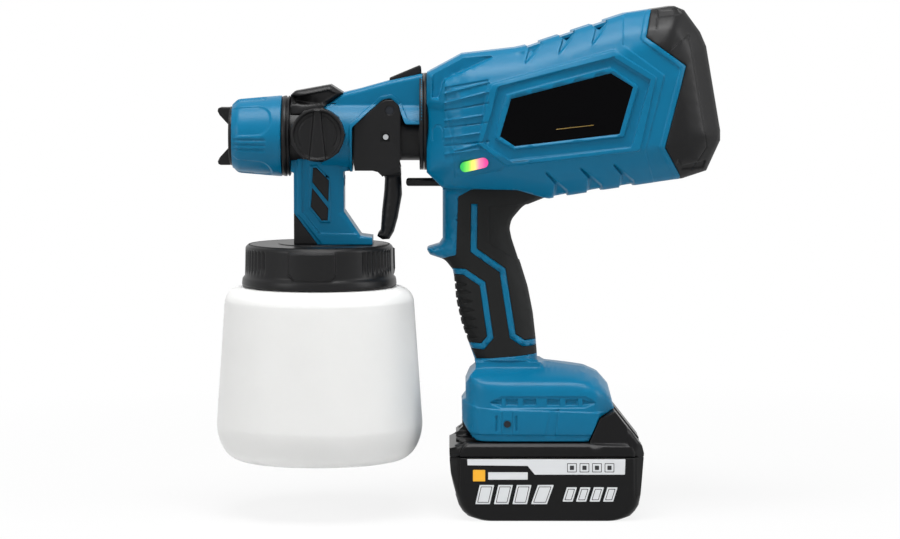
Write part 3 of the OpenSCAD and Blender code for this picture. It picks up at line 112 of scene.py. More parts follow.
def moulded(name, colour, rough, grain, depth, edge=0.5, tint=0.06, gloss_drift=0.08, **principled):
    """Moulded plastic: a faintly drifting colour, a spark-eroded grain and softly rounded edges.

    grain, depth and edge are in mm. The colour drifts by the share tint, over patches of colour_patch mm.
    """
    colour_patch, grain_strength = 18, 0.35
    material, tree = blank(name)
    place = {"Vector": (add_node(tree, "ShaderNodeTexCoord"), "Object")}
    drift = add_node(tree, "ShaderNodeTexNoise", {"Scale": 1 / (colour_patch * MM), "Detail": 2.0}, place)
    plain = linear(colour)[:3]
    dark = tuple(c * (1 - tint) for c in plain) + (1,)
    light = tuple(min(1, c * (1 + tint)) for c in plain) + (1,)
    # In a colour Mix node, 6 and 7 are the two colours and 2 is the result.
    body = add_node(tree, "ShaderNodeMix", {6: dark, 7: light}, {0: (drift, "Fac")}, data_type="RGBA")
    pits = add_node(tree, "ShaderNodeTexNoise", {"Scale": 1 / (grain * MM), "Detail": 3.0, "Roughness": 0.6}, place)
    sheen = drifting_gloss(tree, pits, rough, gloss_drift)
    soft = add_node(tree, "ShaderNodeBevel", {"Radius": edge * MM}, samples=6)
    dents = {"Strength": grain_strength, "Distance": depth * MM}
    bump = add_node(tree, "ShaderNodeBump", dents, {"Height": (pits, "Fac"), "Normal": (soft, "Normal")})
    surface(tree, principled, {"Base Color": (body, 2), "Roughness": (sheen, "Result"), "Normal": (bump, "Normal")})
    return material


def worked_metal(name, colour, rough, line, across):
    """Turned or drawn metal: fine tool lines of one pitch in mm, stretched along the axis they run round."""
    gloss_drift, line_strength, line_depth = 0.12, 0.2, 0.02
    material, tree = blank(name)
    place = add_node(tree, "ShaderNodeTexCoord")
    stretch = add_node(tree, "ShaderNodeMapping", {"Scale": across}, {"Vector": (place, "Object")})
    pitch = {"Scale": 1 / (line * MM), "Detail": 2.0}
    lines = add_node(tree, "ShaderNodeTexNoise", pitch, {"Vector": (stretch, "Vector")})
    sheen = drifting_gloss(tree, lines, rough, gloss_drift)
    dents = {"Strength": line_strength, "Distance": line_depth * MM}
    bump = add_node(tree, "ShaderNodeBump", dents, {"Height": (lines, "Fac")})
    metal = {"Base Color": linear(colour), "Metallic": 1.0}
    surface(tree, metal, {"Roughness": (sheen, "Result"), "Normal": (bump, "Normal")})
    return material


# Injection-moulded ABS from a finely spark-eroded tool: satin, an even sheen that picks up the sky on upward faces.
blue_abs = moulded("moulded ABS blue", "#006489", 0.34, grain=0.5, depth=0.02, edge=0.9, IOR=1.27)
# The same resin in black: the grain shows as a soft grey bloom under light.
black_abs = moulded("moulded ABS black", "#131314", 0.36, grain=0.5, depth=0.02, edge=1.4, IOR=1.28)
# Injection-moulded blend for the pack, with a slightly finer grain and more sheen.
pack_abs = moulded("moulded PC-ABS black", "#0d0d0e", 0.32, grain=0.45, depth=0.02, edge=1.2, IOR=1.25)
# Overmoulded elastomer: matt, with a coarser grain that keeps hands from slipping.
grip_rubber = moulded("overmoulded TPE rubber", "#121313", 0.6, grain=0.6, depth=0.05, edge=0.8, IOR=1.28)
# Blackened steel: oil-dipped screws, dark with a dull glint.
black_steel = worked_metal("blackened steel", "#303236", 0.42, 0.4, (1, 0.2, 1))
# High-density polyethylene, blow-moulded: cloudy, light spreads inside the wall.
cup_hdpe = moulded(
    "blow-moulded HDPE natural", "#f0f0ee", 0.42, grain=1.5, depth=0.03, edge=0.4, tint=0.015,
    **{"Subsurface Weight": 0.5, "Subsurface Scale": 0.012, "Subsurface Radius": (1.0, 1.0, 1.0)},
)

finish_of = {
    "blue_shell": blue_abs,
    "black_shell": black_abs,
    "pack_black": pack_abs,
    "grip_rubber": grip_rubber,
    "frosted_cup": cup_hdpe,
    # Cast and polished acrylic, printed on its back: a mirror-smooth black face.
    "gloss_plate": moulded(
        "polished acrylic black", "#020203", 0.12, grain=6, depth=0.005, edge=0.2, gloss_drift=0.02, IOR=1.12
    ),
    # Injection-moulded from plain tools: a dull skin.
    "inner_plastic": moulded("moulded nylon grey", "#4a4d50", 0.5, grain=0.5, depth=0.03, edge=0.3),
    "pale_plastic": moulded("moulded acetal natural", "#d9d6cc", 0.4, grain=0.5, depth=0.02, edge=0.3),
    # Injection-moulded in a polished tool: smooth and pale.
    "lens": moulded("moulded polycarbonate lens", "#e8f2ea", 0.2, grain=2, depth=0.01, edge=0.3),
    # Foamed in a block and cut to size: coarse open cells.
    "filter_foam": moulded("open-cell polyurethane foam", "#3d4043", 0.95, grain=1.2, depth=0.6, edge=0.3),
    # Pressed in a hot mould: dull and even.
    "gasket": moulded("moulded nitrile rubber", "#202122", 0.7, grain=0.5, depth=0.03, edge=0.2),
    # Extruded, and for the cells shrunk on with heat: smooth along their length.
    "wire_sleeve": moulded("extruded PVC sleeve", "#8f1f1f", 0.45, grain=0.6, depth=0.01, edge=0.1),
    "cell_sleeve": moulded("heat-shrunk PVC wrap", "#2f6fb0", 0.3, grain=3, depth=0.05, edge=0.2),
    "clear_tube": moulded(
        "extruded polyethylene tube", "#e4e7e8", 0.3, grain=2, depth=0.01, edge=0.1, tint=0.01,
        **{"Transmission Weight": 0.6},
    ),
    # Laminate under a printed solder mask.
    "board": moulded("solder-masked FR4", "#1f5a38", 0.35, grain=0.8, depth=0.02, edge=0.1),
    # Pressed powder, sintered and ground.
    "magnet": moulded("sintered ferrite", "#2c2c2e", 0.6, grain=0.4, depth=0.05, edge=0.2),
    # Turned and drawn metals, with the lines of the tool or the die, and a cast one.
    "steel": worked_metal("turned steel", "#b4b6b8", 0.34, 0.4, (1, 0.2, 1)),
    "spring_steel": worked_metal("drawn spring steel", "#a6a8aa", 0.3, 0.3, (1, 1, 0.2)),
    "copper": worked_metal("enamelled copper winding", "#b4632c", 0.35, 0.6, (0.2, 1, 1)),
    "brass": worked_metal("turned brass", "#c9a45a", 0.28, 0.4, (1, 0.2, 1)),
    "aluminium": worked_metal("die-cast aluminium", "#c2c4c6", 0.42, 0.8, (1, 1, 1)),
}
part_rows = {row["node"]: row for row in frame["record"]["subparts"]}

# ---------------------------------------------------------------- outlines and heights


def rounded(points, radius, steps=4):
    """Outline with each corner turned into a short curve; radius is one number, or one for each corner."""
    pts = [np.array(p, float) for p in points]
    radii = radius if isinstance(radius, (list, tuple)) else [radius] * len(pts)
    out = []
    for i, p in enumerate(pts):
        a, b = pts[i - 1] - p, pts[(i + 1) % len(pts)] - p
        la, lb = np.linalg.norm(a), np.linalg.norm(b)
        half = math.acos(max(-1, min(1, float(a @ b) / (la * lb)))) / 2
        reach = min(radii[i] / max(math.tan(half), 1e-3), 0.46 * la, 0.46 * lb)
        if reach < 0.05:
            out.append(tuple(p))
            continue
        s, e = p + a / la * reach, p + b / lb * reach
        out += [tuple((1 - t) ** 2 * s + 2 * t * (1 - t) * p + t * t * e) for t in np.linspace(0, 1, steps + 1)]
    return out


def block(x0, x1, z0, z1):
    return [(x0, z0), (x0, z1), (x1, z1), (x1, z0)]


def level(height):
    """A flat form, to carve down to."""
    return lambda flat: np.full(len(flat), height)


def circle(x, z, r, sides):
    return [(x + r * math.cos(a), z + r * math.sin(a)) for a in np.linspace(0, 2 * math.pi, sides, endpoint=False)]


def gap_to(pts, path, closed=True):
    """Distance of each point to an outline or an open path."""
    a = np.array(path, float)
    b = np.roll(a, -1, 0)
    if not closed:
        a, b = a[:-1], b[:-1]
    best = np.full(len(pts), 1e9)
    for s, e in zip(a, b):
        d = e - s
        t = np.clip(((pts - s) @ d) / max(float(d @ d), 1e-12), 0, 1)
        best = np.minimum(best, np.hypot(*(pts - s - t[:, None] * d).T))
    return best


def inside(pts, outline):
    """Distance to an outline, positive inside it and negative outside."""
    a = np.array(outline, float)
    odd = np.zeros(len(pts), bool)
    for s, e in zip(a, np.roll(a, -1, 0)):
        if s[1] == e[1]:
            continue
        spans = (s[1] > pts[:, 1]) != (e[1] > pts[:, 1])
        odd ^= spans & (pts[:, 0] < s[0] + (pts[:, 1] - s[1]) * (e[0] - s[0]) / (e[1] - s[1]))
    return np.where(odd, 1, -1) * gap_to(pts, outline)


def ease(t):
    t = np.clip(t, 0, 1)
    return t * t * (3 - 2 * t)


def profile(distance, steps, soften=1.5):
    """Height from the distance inside an outline: (distance, height) pairs, with the kinks softened."""
    x, y = zip(*steps)
    return sum(np.interp(distance + s * soften, x, y) for s in (-1, -0.5, 0, 0.5, 1)) / 5


def along(path, pitch):
    """Points every pitch or less along a closed outline, its corners kept."""
    p = [np.array(q, float) for q in path]
    out = []
    for s, e in zip(p, p[1:] + [p[0]]):
        n = max(1, math.ceil(np.linalg.norm(e - s) / pitch))
        out += [s + (e - s) * k / n for k in range(n)]
    return out


def beside(path, offsets, pitch, closed=True):
    """Points beside a path, at the offsets given, so that the mesh follows its edge."""
    p = [np.array(q, float) for q in path]
    out = []
    for s, e in zip(p, p[1:] + [p[0]] if closed else p[1:]):
        length = np.linalg.norm(e - s)
        if length < 1e-6:
            continue
        side = np.array([-(e - s)[1], (e - s)[0]]) / length
        n = max(1, math.ceil(length / pitch))
        out += [s + (e - s) * k / n + side * o for k in range(n + 1) for o in offsets]
    for q in p:
        for o in sorted({round(abs(v), 3) for v in offsets if abs(v) > 1e-6}):
            out += [q + o * np.array([math.cos(t), math.sin(t)]) for t in np.arange(8) * math.pi / 4]
    return out


def relief(outline, features, form, rim=(0.3, 0.9, 1.8, 3.2), pitch=1.4, lattice=3.5):
    """Triangles over an outline.

    Their height is form plus the features: ("area", outline, rise, slope), ("line", path, rise, width)
    and ("floor", outline, height, slope), which brings the area down to one height.
    """
    pts = beside(outline, [s * v for v in rim for s in (-1, 1)], pitch)
    for kind, path, _, width in features:
        pts += beside(path, [v * width for v in (-0.55, -0.27, 0, 0.27, 0.55)], pitch, kind != "line")
    pts = np.array(pts)
    pts = pts[np.unique(np.round(pts / 0.12).astype(int), axis=0, return_index=True)[1]]
    lo, hi = np.array(outline).min(0), np.array(outline).max(0)
    taken = {tuple(c) for c in np.floor(pts / (lattice / 2)).astype(int)}
    grid = [
        (x + (k % 2) * lattice / 2, z)
        for k, z in enumerate(np.arange(lo[1], hi[1], lattice * 0.87))
        for x in np.arange(lo[0], hi[0], lattice)
    ]
    grid = [g for g in grid if tuple(np.floor(np.array(g) / (lattice / 2)).astype(int)) not in taken]
    pts = np.vstack([pts, np.array(grid).reshape(-1, 2)])
    pts = pts[inside(pts, outline) > 0.1]
    edge = along(outline, pitch)
    every = [Vector(p) for p in edge] + [Vector(p) for p in pts]
    v, _, faces, *_ = delaunay_2d_cdt(every, [], [list(range(len(edge)))], 1, 1e-5)
    flat = np.array([tuple(p) for p in v])
    height = form(flat)
    for kind, path, rise, width in features:
        if kind == "area":
            height = height + rise * ease(inside(flat, path) / width + 0.5)
        elif kind == "line":
            height = height + rise * (1 - ease(gap_to(flat, path, closed=False) / (width / 2)))
        else:
            share = ease(inside(flat, path) / width + 0.5)
            height = height + share * (np.minimum(height, rise) - height)
    return flat, height, faces


# ---------------------------------------------------------------- solids


def grown(outline, by):
    """Outline moved outwards by a distance."""
    pts = np.array(outline, float)
    back, ahead = np.roll(pts, 1, 0), np.roll(pts, -1, 0)
    way = 1 if np.sum(pts[:, 0] * ahead[:, 1] - ahead[:, 0] * pts[:, 1]) > 0 else -1
    e1 = (pts - back) / np.linalg.norm(pts - back, axis=1)[:, None]
    e2 = (ahead - pts) / np.linalg.norm(ahead - pts, axis=1)[:, None]
    out = np.stack([(e1 + e2)[:, 1], -(e1 + e2)[:, 0]], 1) * way
    out /= np.maximum(np.sum(out * np.stack([e1[:, 1], -e1[:, 0]], 1) * way, 1), 0.35)[:, None]
    return [tuple(p) for p in pts + out * by]


def band(path, width):
    """Outline of a stripe of one width along an open path, with mitred bends."""
    pts = np.array(path, float)
    d = np.diff(pts, axis=0)
    d /= np.linalg.norm(d, axis=1)[:, None]
    before, after = np.vstack([d[:1], d]), np.vstack([d, d[-1:]])
    mean = before + after
    normal = np.stack([-mean[:, 1], mean[:, 0]], 1)
    normal /= np.sum(normal * np.stack([-before[:, 1], before[:, 0]], 1), 1)[:, None]
    return [tuple(p) for p in np.vstack([pts + normal * width / 2, (pts - normal * width / 2)[::-1]])]


def about(axis, centre, t, r, a):
    """Point t along an axis, X or Z, through centre, at radius r and angle a round it."""
    c, s = r * math.cos(a), r * math.sin(a)
    return (t, centre[1] + c, centre[2] + s) if axis == "x" else (centre[0] + c, centre[1] + s, t)


def finished(name, mesh, material):
    obj = bpy.data.objects.new(name, mesh)
    scene.collection.objects.link(obj)
    mesh.materials.clear()
    mesh.materials.append(material)
    return obj


def sheet_solid(flat, height, faces, base, place):
    """Closed mesh between a relief and a flat or round base; place(u, v, h) gives each point."""
    bm = bmesh.new()
    top = [bm.verts.new(place(u, v, h)) for (u, v), h in zip(flat, height)]
    low = [bm.verts.new(place(u, v, base)) for u, v in flat]
    for f in faces:
        bm.faces.new([top[i] for i in f])
        bm.faces.new([low[i] for i in reversed(f)])
    rim = [e for e in bm.edges if len(e.link_faces) == 1]
    index = {v: i for i, v in enumerate(top)}
    for e in rim:
        if e.verts[0] in index:
            a, b = (index[v] for v in e.verts)
            bm.faces.new((top[b], top[a], low[a], low[b]))
    bmesh.ops.remove_doubles(bm, verts=bm.verts, dist=1e-7)
    bmesh.ops.recalc_face_normals(bm, faces=bm.faces)
    return bm


def to_mesh(bm, name):
    mesh = bpy.data.meshes.new(name)
    bm.to_mesh(mesh)
    bm.free()
    return mesh


def side_place(side):
    """Outline in X and Z, height towards one side: -1 left, 1 right."""
    return lambda u, v, h: (u * MM, side * h * MM, v * MM)


def relief_solid(name, outline, features, form, base, side, **detail):
    flat, height, faces = relief(outline, features, form, **detail)
    return finished(name, to_mesh(sheet_solid(flat, height, faces, base, side_place(side)), name), blue_abs)


def skin(name, rings, closed=False):
    """Mesh through rings of points in mm, where a ring of one point is a pole.

    closed joins the last ring to the first; without it, rings at the ends get flat faces.
    """
    bm = bmesh.new()
    rows = [[bm.verts.new([c * MM for c in p]) for p in ring] for ring in rings]
    count = max(len(row) for row in rows)
    for a, b in zip(rows, rows[1:] + rows[:1] if closed else rows[1:]):
        for i in range(count):
            j = (i + 1) % count
            corners = [a[i % len(a)], a[j % len(a)], b[j % len(b)], b[i % len(b)]]
            unique = list(dict.fromkeys(corners))
            if len(unique) > 2:
                bm.faces.new(unique)
    if not closed:
        for end in (rows[0][::-1], rows[-1]):
            if len(end) > 1:
                bm.faces.new(end)
    bmesh.ops.recalc_face_normals(bm, faces=bm.faces)
    return finished(name, to_mesh(bm, name), blue_abs)


def prism(name, outline, low, high, rim=0.0):
    """Outline pushed along Y from low to high, with both rims rounded."""
    pts = np.array(outline, float)
    ahead = np.roll(pts, -1, 0)
    if np.sum(pts[:, 0] * ahead[:, 1] - ahead[:, 0] * pts[:, 1]) < 0:
        pts = pts[::-1]
    levels = [(low, 0), (high, 0)]
    if rim:
        turns = np.linspace(0, math.pi / 2, 4)
        levels = [(low + rim * (1 - math.cos(a)), rim * (1 - math.sin(a))) for a in turns]
        levels += [(high - rim * (1 - math.sin(a)), rim * (1 - math.cos(a))) for a in turns]
    return skin(name, [[(x, h, z) for x, z in (grown(pts, -inset) if inset else pts)] for h, inset in levels])


def turned(name, points, centre, axis="x", sides=96):
    """Profile of (along, radius) points turned about an axis; it is closed where its ends meet the axis."""
    angles = np.linspace(0, 2 * math.pi, sides, endpoint=False)
    rings = [[about(axis, centre, t, r, a) for a in (angles if r > 1e-6 else [0])] for t, r in points]
    return skin(name, rings, closed=points[0][1] > 1e-6)


def waved(name, stations, radius, centre, axis, sides=240, bore=None):
    """Turned piece whose outer radius varies along and around it: radius(station, angles). bore is its inner radius."""
    angles = np.linspace(0, 2 * math.pi, sides, endpoint=False)
    rounds = [(t, radius(t, angles)) for t in stations]
    rounds += [(stations[-1], np.full(sides, bore)), (stations[0], np.full(sides, bore))]
    rings = [[about(axis, centre, t, r, a) for a, r in zip(angles, radii)] for t, radii in rounds]
    return skin(name, rings, closed=True)


def shape_of(node):
    """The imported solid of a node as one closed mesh, to cut and add to."""
    bm = bmesh.new()
    bm.from_mesh(frame["nodes"][node].data)
    bmesh.ops.remove_doubles(bm, verts=bm.verts, dist=1e-6)
    return finished(node + "_dressed", to_mesh(bm, node + "_dressed"), blue_abs)


def combine(obj, how, *others):
    """Boolean of obj with each of the others, which are used up. how is DIFFERENCE, UNION or INTERSECT."""
    for other in others:
        step = obj.modifiers.new("solid", "BOOLEAN")
        step.operation = how
        step.object = other
        step.solver = "MANIFOLD"
        made = bpy.data.meshes.new_from_object(obj.evaluated_get(bpy.context.evaluated_depsgraph_get()))
        obj.modifiers.clear()
        if not len(made.polygons):
            raise SystemExit(f"{how} of {obj.name} with {other.name} left nothing")
        old = obj.data
        obj.data = made
        bpy.data.meshes.remove(old)
        bpy.data.objects.remove(other)
    return obj


def fill(obj, outline, low, high):
    """Adds an outline pushed along Y from low to high."""
    return combine(obj, "UNION", prism("filling", outline, low, high))


def cut(obj, outline, low=-FAR, high=FAR):
    """Takes away an outline pushed along Y from low to high."""
    return combine(obj, "DIFFERENCE", prism("cutter", outline, low, high))


def trim(obj, outline, low=-FAR, high=FAR):
    """Keeps what lies within an outline pushed along Y from low to high."""
    return combine(obj, "INTERSECT", prism("limit", outline, low, high))


def carve(obj, side, outline, details, form, **detail):
    """Cuts away all that stands over a relief."""
    return combine(obj, "DIFFERENCE", relief_solid("carving", outline, details, form, FAR, side, **detail))


def copy_of(obj):
    other = obj.copy()
    other.data = obj.data.copy()
    scene.collection.objects.link(other)
    return other


def dress(obj, name, material, body, *nodes, smooth=34):
    """Last step of a piece: name, finish, shading, and the body and nodes that it stands for."""
    obj.name = name
    obj.data.name = name
    obj.data.materials.clear()
    obj.data.materials.append(material)
    for face in obj.data.polygons:
        face.material_index = 0
    obj.data.shade_smooth()
    obj.data.set_sharp_from_angle(angle=math.radians(smooth))
    even = obj.modifiers.new("even shading", "WEIGHTED_NORMAL")
    even.keep_sharp = True
    even.weight = 60
    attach(obj, body)
    if nodes:
        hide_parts(*nodes)
    return obj


for node_name, node_object in frame["nodes"].items():
    node_object.data.materials.clear()
    node_object.data.materials.append(finish_of[part_rows[node_name]["material_slot"]])
    for face in node_object.data.polygons:
        face.material_index = 0
for node_name in ("housing_screws", "gun_screws", "pack_screws", "trigger_pin"):
    frame["nodes"][node_name].data.materials[0] = black_steel


# ---------------------------------------------------------------- motor housing

drum_outline = [
    (-71.4, 206.4), (-71.4, 265.0), (-50.7, 276.2), (-18.9, 279.8), (-11.2, 281.5), (46.5, 300.3), (74.2, 304.5),
    (80.1, 302.1), (89.6, 289.2), (93.2, 280.9), (101.8, 231.4), (101.8, 225.5), (93.7, 207.7), (79.5, 203.0),
    (31.0, 195.9), (-1.4, 190.7), (-21.4, 195.2), (-62.0, 197.2),
]
drum_zone = grown(drum_outline, 0.7)
# Half width of the drum by the distance in from its side outline.
drum_steps = [(-1.5, 24.5), (0, 28.2), (0.8, 29.8), (2, 31.6), (11, 40.9), (21, 45.7), (40, 46.0)]
panel_edge = [(-33.7, 259.0), (37.7, 278.8), (62.9, 262.9), (53.6, 219.9), (-24.7, 211.1), (-41.5, 224.1)]
frame_ridge = [(-29.8, 256.8), (36.6, 274.0), (59.0, 259.9), (48.5, 222.1), (-22.8, 214.5), (-37.2, 224.4)]
plate_lip = [(-31.2, 227.1), (-25.9, 252.6), (36.0, 269.0), (52.5, 257.3), (44.0, 228.1), (-20.2, 220.7)]
terrace_back = [(45.0, 312.0), (43.4, 281.8), (67.8, 263.9), (56.5, 219.2), (66.5, 190.0), (120, 190), (120, 312)]
cap_joint = [
    (60.8, 330), (60.8, 302.7), (59.4, 297.7), (57.0, 286.2), (80.4, 269.5), (68.2, 221.8), (77.9, 204.9), (81.3, 170),
    (150, 170), (150, 330),
]
cap_rim = grown(cap_joint, 3.0)
# Lip of the shell along the joint, and what lies in front of the joint.
cap_lip = [
    (54.0, 298.6), (59.3, 297.9), (56.9, 286.15), (80.25, 269.45), (68.1, 221.8), (77.75, 205.0), (72.0, 204.0),
    (61.8, 221.4), (73.6, 267.0), (50.4, 285.0),
]
ahead_of_joint = [
    (30, 330), (60.8, 330), (60.8, 302.7), (59.4, 297.7), (57.0, 286.2), (80.4, 269.5), (68.2, 221.8), (77.9, 204.9),
    (81.3, 170), (30, 170),
]
rib_panel = [
    (-60.3, 257.0), (-35.0, 261.5), (-37.0, 247.0), (-40.6, 224.8), (-55.6, 220.4), (-56.6, 227.0), (-60.3, 243.0),
]
light_panel = [(-55.2, 219.4), (-40.6, 223.4), (-29.9, 215.2), (-25.0, 211.4), (-28.0, 208.6), (-54.9, 203.4)]
nose_pocket = [(-67.8, 264.8), (-68.2, 250.4), (-64.0, 250.2), (-60.6, 261.2), (-30.6, 275.2), (-49.5, 274.4)]
# Half width that the pocket at the front goes down to.
pocket_floor = 30.7
front_strip = [(-80, 246.2), (-61.6, 245.3), (-58.3, 238.6), (-54.3, 203.1), (-54.3, 190), (-80, 190)]
joint_tab = [(-67.6, 225.6), (-67.6, 232.0), (-65.6, 234.6), (-63.4, 234.6), (-61.6, 232.0), (-61.6, 225.6)]

# Air vents across the upper and the lower edge: a scoop each, with a deep mouth at the edge.
top_scoops = [
    [(-14.2, 269.6), (-10.8, 280.0), (-4.6, 282.4), (-6.8, 278.4)],
    [(5.2, 274.8), (9.2, 286.6), (15.0, 289.2), (13.4, 285.0)],
    [(24.8, 280.0), (28.4, 292.6), (34.0, 294.8), (32.8, 291.2)],
]
top_mouths = [
    [(-12.0, 280.0), (-13.0, 286), (-3.0, 287), (-3.6, 282.2), (-8.6, 277.6)],
    [(8.0, 286.0), (6.6, 293), (16.6, 294), (15.8, 288.8), (11.0, 284.2)],
    [(27.2, 292.0), (25.8, 299), (35.8, 300), (34.8, 294.8), (30.0, 290.4)],
]
low_scoops = [
    [(-3.2, 208.8), (4.6, 200.2), (3.4, 186.0), (13.5, 186.0), (11.2, 196.0), (5.5, 201.0)],
    [(17.3, 211.0), (24.4, 203.4), (23.2, 188.0), (34.5, 188.0), (31.5, 199.2), (26.0, 204.0)],
    [(36.9, 213.2), (43.5, 205.6), (42.6, 190.0), (53.5, 190.0), (50.5, 201.7), (45.0, 206.2)],
]

# Shallow steps of the vents in the top and the bottom edge, across the whole drum.
edge_steps = [
    [(-12.4, 280.0), (-12.6, 288), (-4.0, 290), (-4.6, 282.6)],
    [(6.8, 286.2), (6.6, 294), (15.4, 296), (14.8, 288.8)],
    [(26.2, 292.5), (26.0, 300), (34.6, 302), (34.0, 295.1)],
    [(3.6, 186), (3.6, 192.5), (11.4, 194.0), (12.2, 186)],
    [(23.2, 188), (23.2, 195.7), (31.2, 197.2), (32.0, 188)],
    [(42.4, 190), (42.4, 198.6), (50.2, 199.9), (51.0, 190)],
]


def drum_height(flat):
    return profile(inside(flat, drum_outline), drum_steps, soften=1.0) - 1.0


housing_details = [
    ("area", rounded(terrace_back, 2), -0.8, 1.0),
    ("area", rounded(cap_rim, 3), 0.9, 1.0),
    ("line", cap_joint[1:8], -0.5, 1.4),
    ("area", rounded(front_strip, 2), -2.0, 5.0),
    ("area", rounded(panel_edge, 2), 1.3, 0.9),
    ("area", rounded(frame_ridge, 2), -2.0, 1.0),
    ("area", rounded(plate_lip, 1.5), 1.8, 0.9),
    ("area", rounded(rib_panel, 1), -0.8, 0.9),
    ("area", rounded(light_panel, 1), -0.8, 0.9),
    ("line", joint_tab, -0.6, 1.0),
    ("floor", rounded(nose_pocket, 1), pocket_floor, 1.2),
]
housing_details += [("area", rounded(p, 0.6, 2), -1.9, 0.7) for p in top_scoops]
housing_details += [("area", rounded(p, 0.6, 2), -3.6, 1.8) for p in low_scoops]
# Shingles of the ribbed panel: (height of the edge at the front, at the back, rise).
shingles = [
    (253.4, 260.1, 1.2), (247.8, 254.5, 1.2), (243.2, 248.0, -0.9), (237.4, 241.4, 1.2), (233.3, 236.8, -0.9),
    (227.3, 231.2, 1.2), (222.7, 225.6, -0.9), (217.8, 221.7, 1.2),
]
for z_front, z_back, rise in shingles:
    housing_details.append(("line", [(-60.6, z_front), (-35.0, z_back)], rise, 1.5))

# ---------------------------------------------------------------- handle and its rubber

handle_outline = [
    (-62.0, 240), (-62.0, 165.6), (-64.0, 162.7), (-72.0, 160.2), (-69.5, 156.3), (-60.7, 153.4), (-56.0, 147.5),
    (-55.2, 143.7), (-53.9, 129.3), (-50.6, 114.9), (-44.6, 98.8), (-42.5, 92.8), (-42.1, 60), (-5.0, 60), (-5.0, 87.8),
    (-5.4, 95.4), (-6.3, 106.5), (-8.0, 121.7), (-11.0, 136.9), (-15.2, 150.4), (-20.2, 165.6), (-21.6, 172.4),
    (-20.3, 177.4), (-13.6, 185.4), (-1.8, 190.1), (10.6, 195.7), (10.6, 240),
]
handle_radii = [0, 3, 2, 2, 2, 8, 8, 9, 20, 30, 20, 0, 0, 0, 0, 9, 15, 30, 30, 30, 12, 8, 8, 12, 12, 0, 0]
handle_round = rounded(handle_outline, handle_radii, 5)
rubber_outline = [
    (-52.7, 191.6), (-43.9, 196.6), (-18.1, 196.2), (-2.2, 191.6), (8.6, 189.7), (25, 189.7), (25, 97.8), (-6.0, 97.4),
    (-41.8, 94.4), (-45.2, 101.2), (-75, 101.2), (-75, 151.2), (-60.6, 154.7), (-54.0, 156.9),
]
rear_stripe = [(-43.1, 187.4), (-43.5, 159.7), (-26.4, 147.7), (-20.2, 108.4), (-13.9, 104.1), (18.6, 104.7)]
front_stripe = [(-76.4, 146.7), (-49.0, 146.7), (-38.2, 139.6), (-33.6, 107.7), (-38.1, 102.2), (-76.4, 102.2)]
thumb_panel = [(-16, 186.4), (-34.2, 185.9), (-34.5, 163.9), (-14.6, 151.6), (0, 160), (0, 186.4)]
# Finger grooves: (front x, back x, height), from the top one down.
finger_grooves = [
    (-64, -47.6, 139.0), (-64, -45.2, 134.4), (-63, -44.2, 129.2), (-62, -43.0, 123.8), (-61, -42.3, 118.6),
    (-60, -41.4, 113.3), (-58, -40.8, 107.8),
]
rubber_thick = 1.8
# Half width of the handle by the distance in from its side outline.
handle_steps = [(-1, 3.5), (0, 6.5), (0.7, 9.2), (1.8, 11.4), (4, 14.2), (7, 16.4), (11, 17.8), (16, 18.4), (40, 18.5)]


def handle_height(flat):
    return profile(inside(flat, handle_round), handle_steps, soften=0.4)


def handle_core(side, inset, base=-3):
    """The rounded handle, shrunk by an inset, from the middle plane out to one side."""
    outline = grown(handle_round, -inset) if inset else handle_round
    return relief_solid(
        "handle core", outline, [], lambda flat: handle_height(flat) - inset, base, side, rim=(0.4, 1.2, 2.6), lattice=4
    )


def rubber_block(side, gap):
    """All that the rubber may fill, from the side: its area less the stripes, which get a gap on both sides."""
    area = prism("rubber", rounded(rubber_outline, 1.2), 0, side * 30)
    for path, width in ((rear_stripe, 3.6), (front_stripe, 3.4)):
        cut(area, band(path, width + 2 * gap), side * -1, side * 31)
    return area


def sink(obj, side, area, depth):
    """Cuts obj within an area, down to a depth under the rounded handle."""
    return combine(obj, "DIFFERENCE", combine(area, "DIFFERENCE", handle_core(side, depth)))


# ---------------------------------------------------------------- foot

foot_outline = [
    (-42.1, 92.8), (-42.5, 88.8), (-45.5, 85.8), (-48.2, 80.3), (-48.2, 71.8), (-50.6, 69.3), (-50.3, 58.2),
    (-47.5, 52.2),
    (-41.0, 47.2), (24.5, 47.2), (30.7, 61.4), (39.0, 65.6), (40.0, 66.0), (37.0, 78.2), (30.6, 85.5), (22.4, 89.2),
    (3.9, 91.8), (-4.6, 92.8),
]
# Half width by height, and by the place along the foot.
foot_by_height = [
    (44, 34.2), (48, 34.6), (58, 35.8), (71, 35.8), (76, 35.0), (80, 33.9), (83, 32.0), (84.6, 29.0), (85.8, 24.6),
    (87.2, 20.8), (89.4, 19.0), (96, 18.4),
]
# Crown of the rear hump: half width by the depth under its top line.
crown_steps = [(-2, 2.0), (0, 6.0), (1, 13.0), (2.4, 19.5), (4.0, 25.0), (5.6, 29.6), (7.2, 33.6), (10, 41), (16, 54)]
crown_line = [(-8, 92.4), (3.9, 91.6), (14, 90.6), (22.4, 89.2), (30.6, 85.6), (37.0, 78.4), (40.0, 70.0), (44, 60)]
nose_filling = [(-50.6, 61), (-50.4, 58.6), (-49.4, 56.4), (-47.6, 53.4), (-44.8, 50.4), (-44.2, 48.5), (-44.2, 61)]
foot_by_length = [
    (-52, 8), (-50.6, 12), (-48.4, 18.6), (-44.6, 29), (-38, 33), (-26.6, 35.9), (28, 35.9), (34, 30.6), (40, 24),
    (44, 19),
]
foot_upper = [(-60, 71.0), (-49.5, 69.6), (-40, 66.9), (-29, 66.2), (1.9, 65.3), (50, 63.9), (50, 100), (-60, 100)]
foot_sill = [(-60, 51.4), (50, 50.8), (50, 40), (-60, 40)]
vent_recess = [(-34.8, 70.1), (-27.0, 73.8), (22.9, 73.8), (29.2, 70.2), (22.2, 67.2), (-27.0, 66.9)]
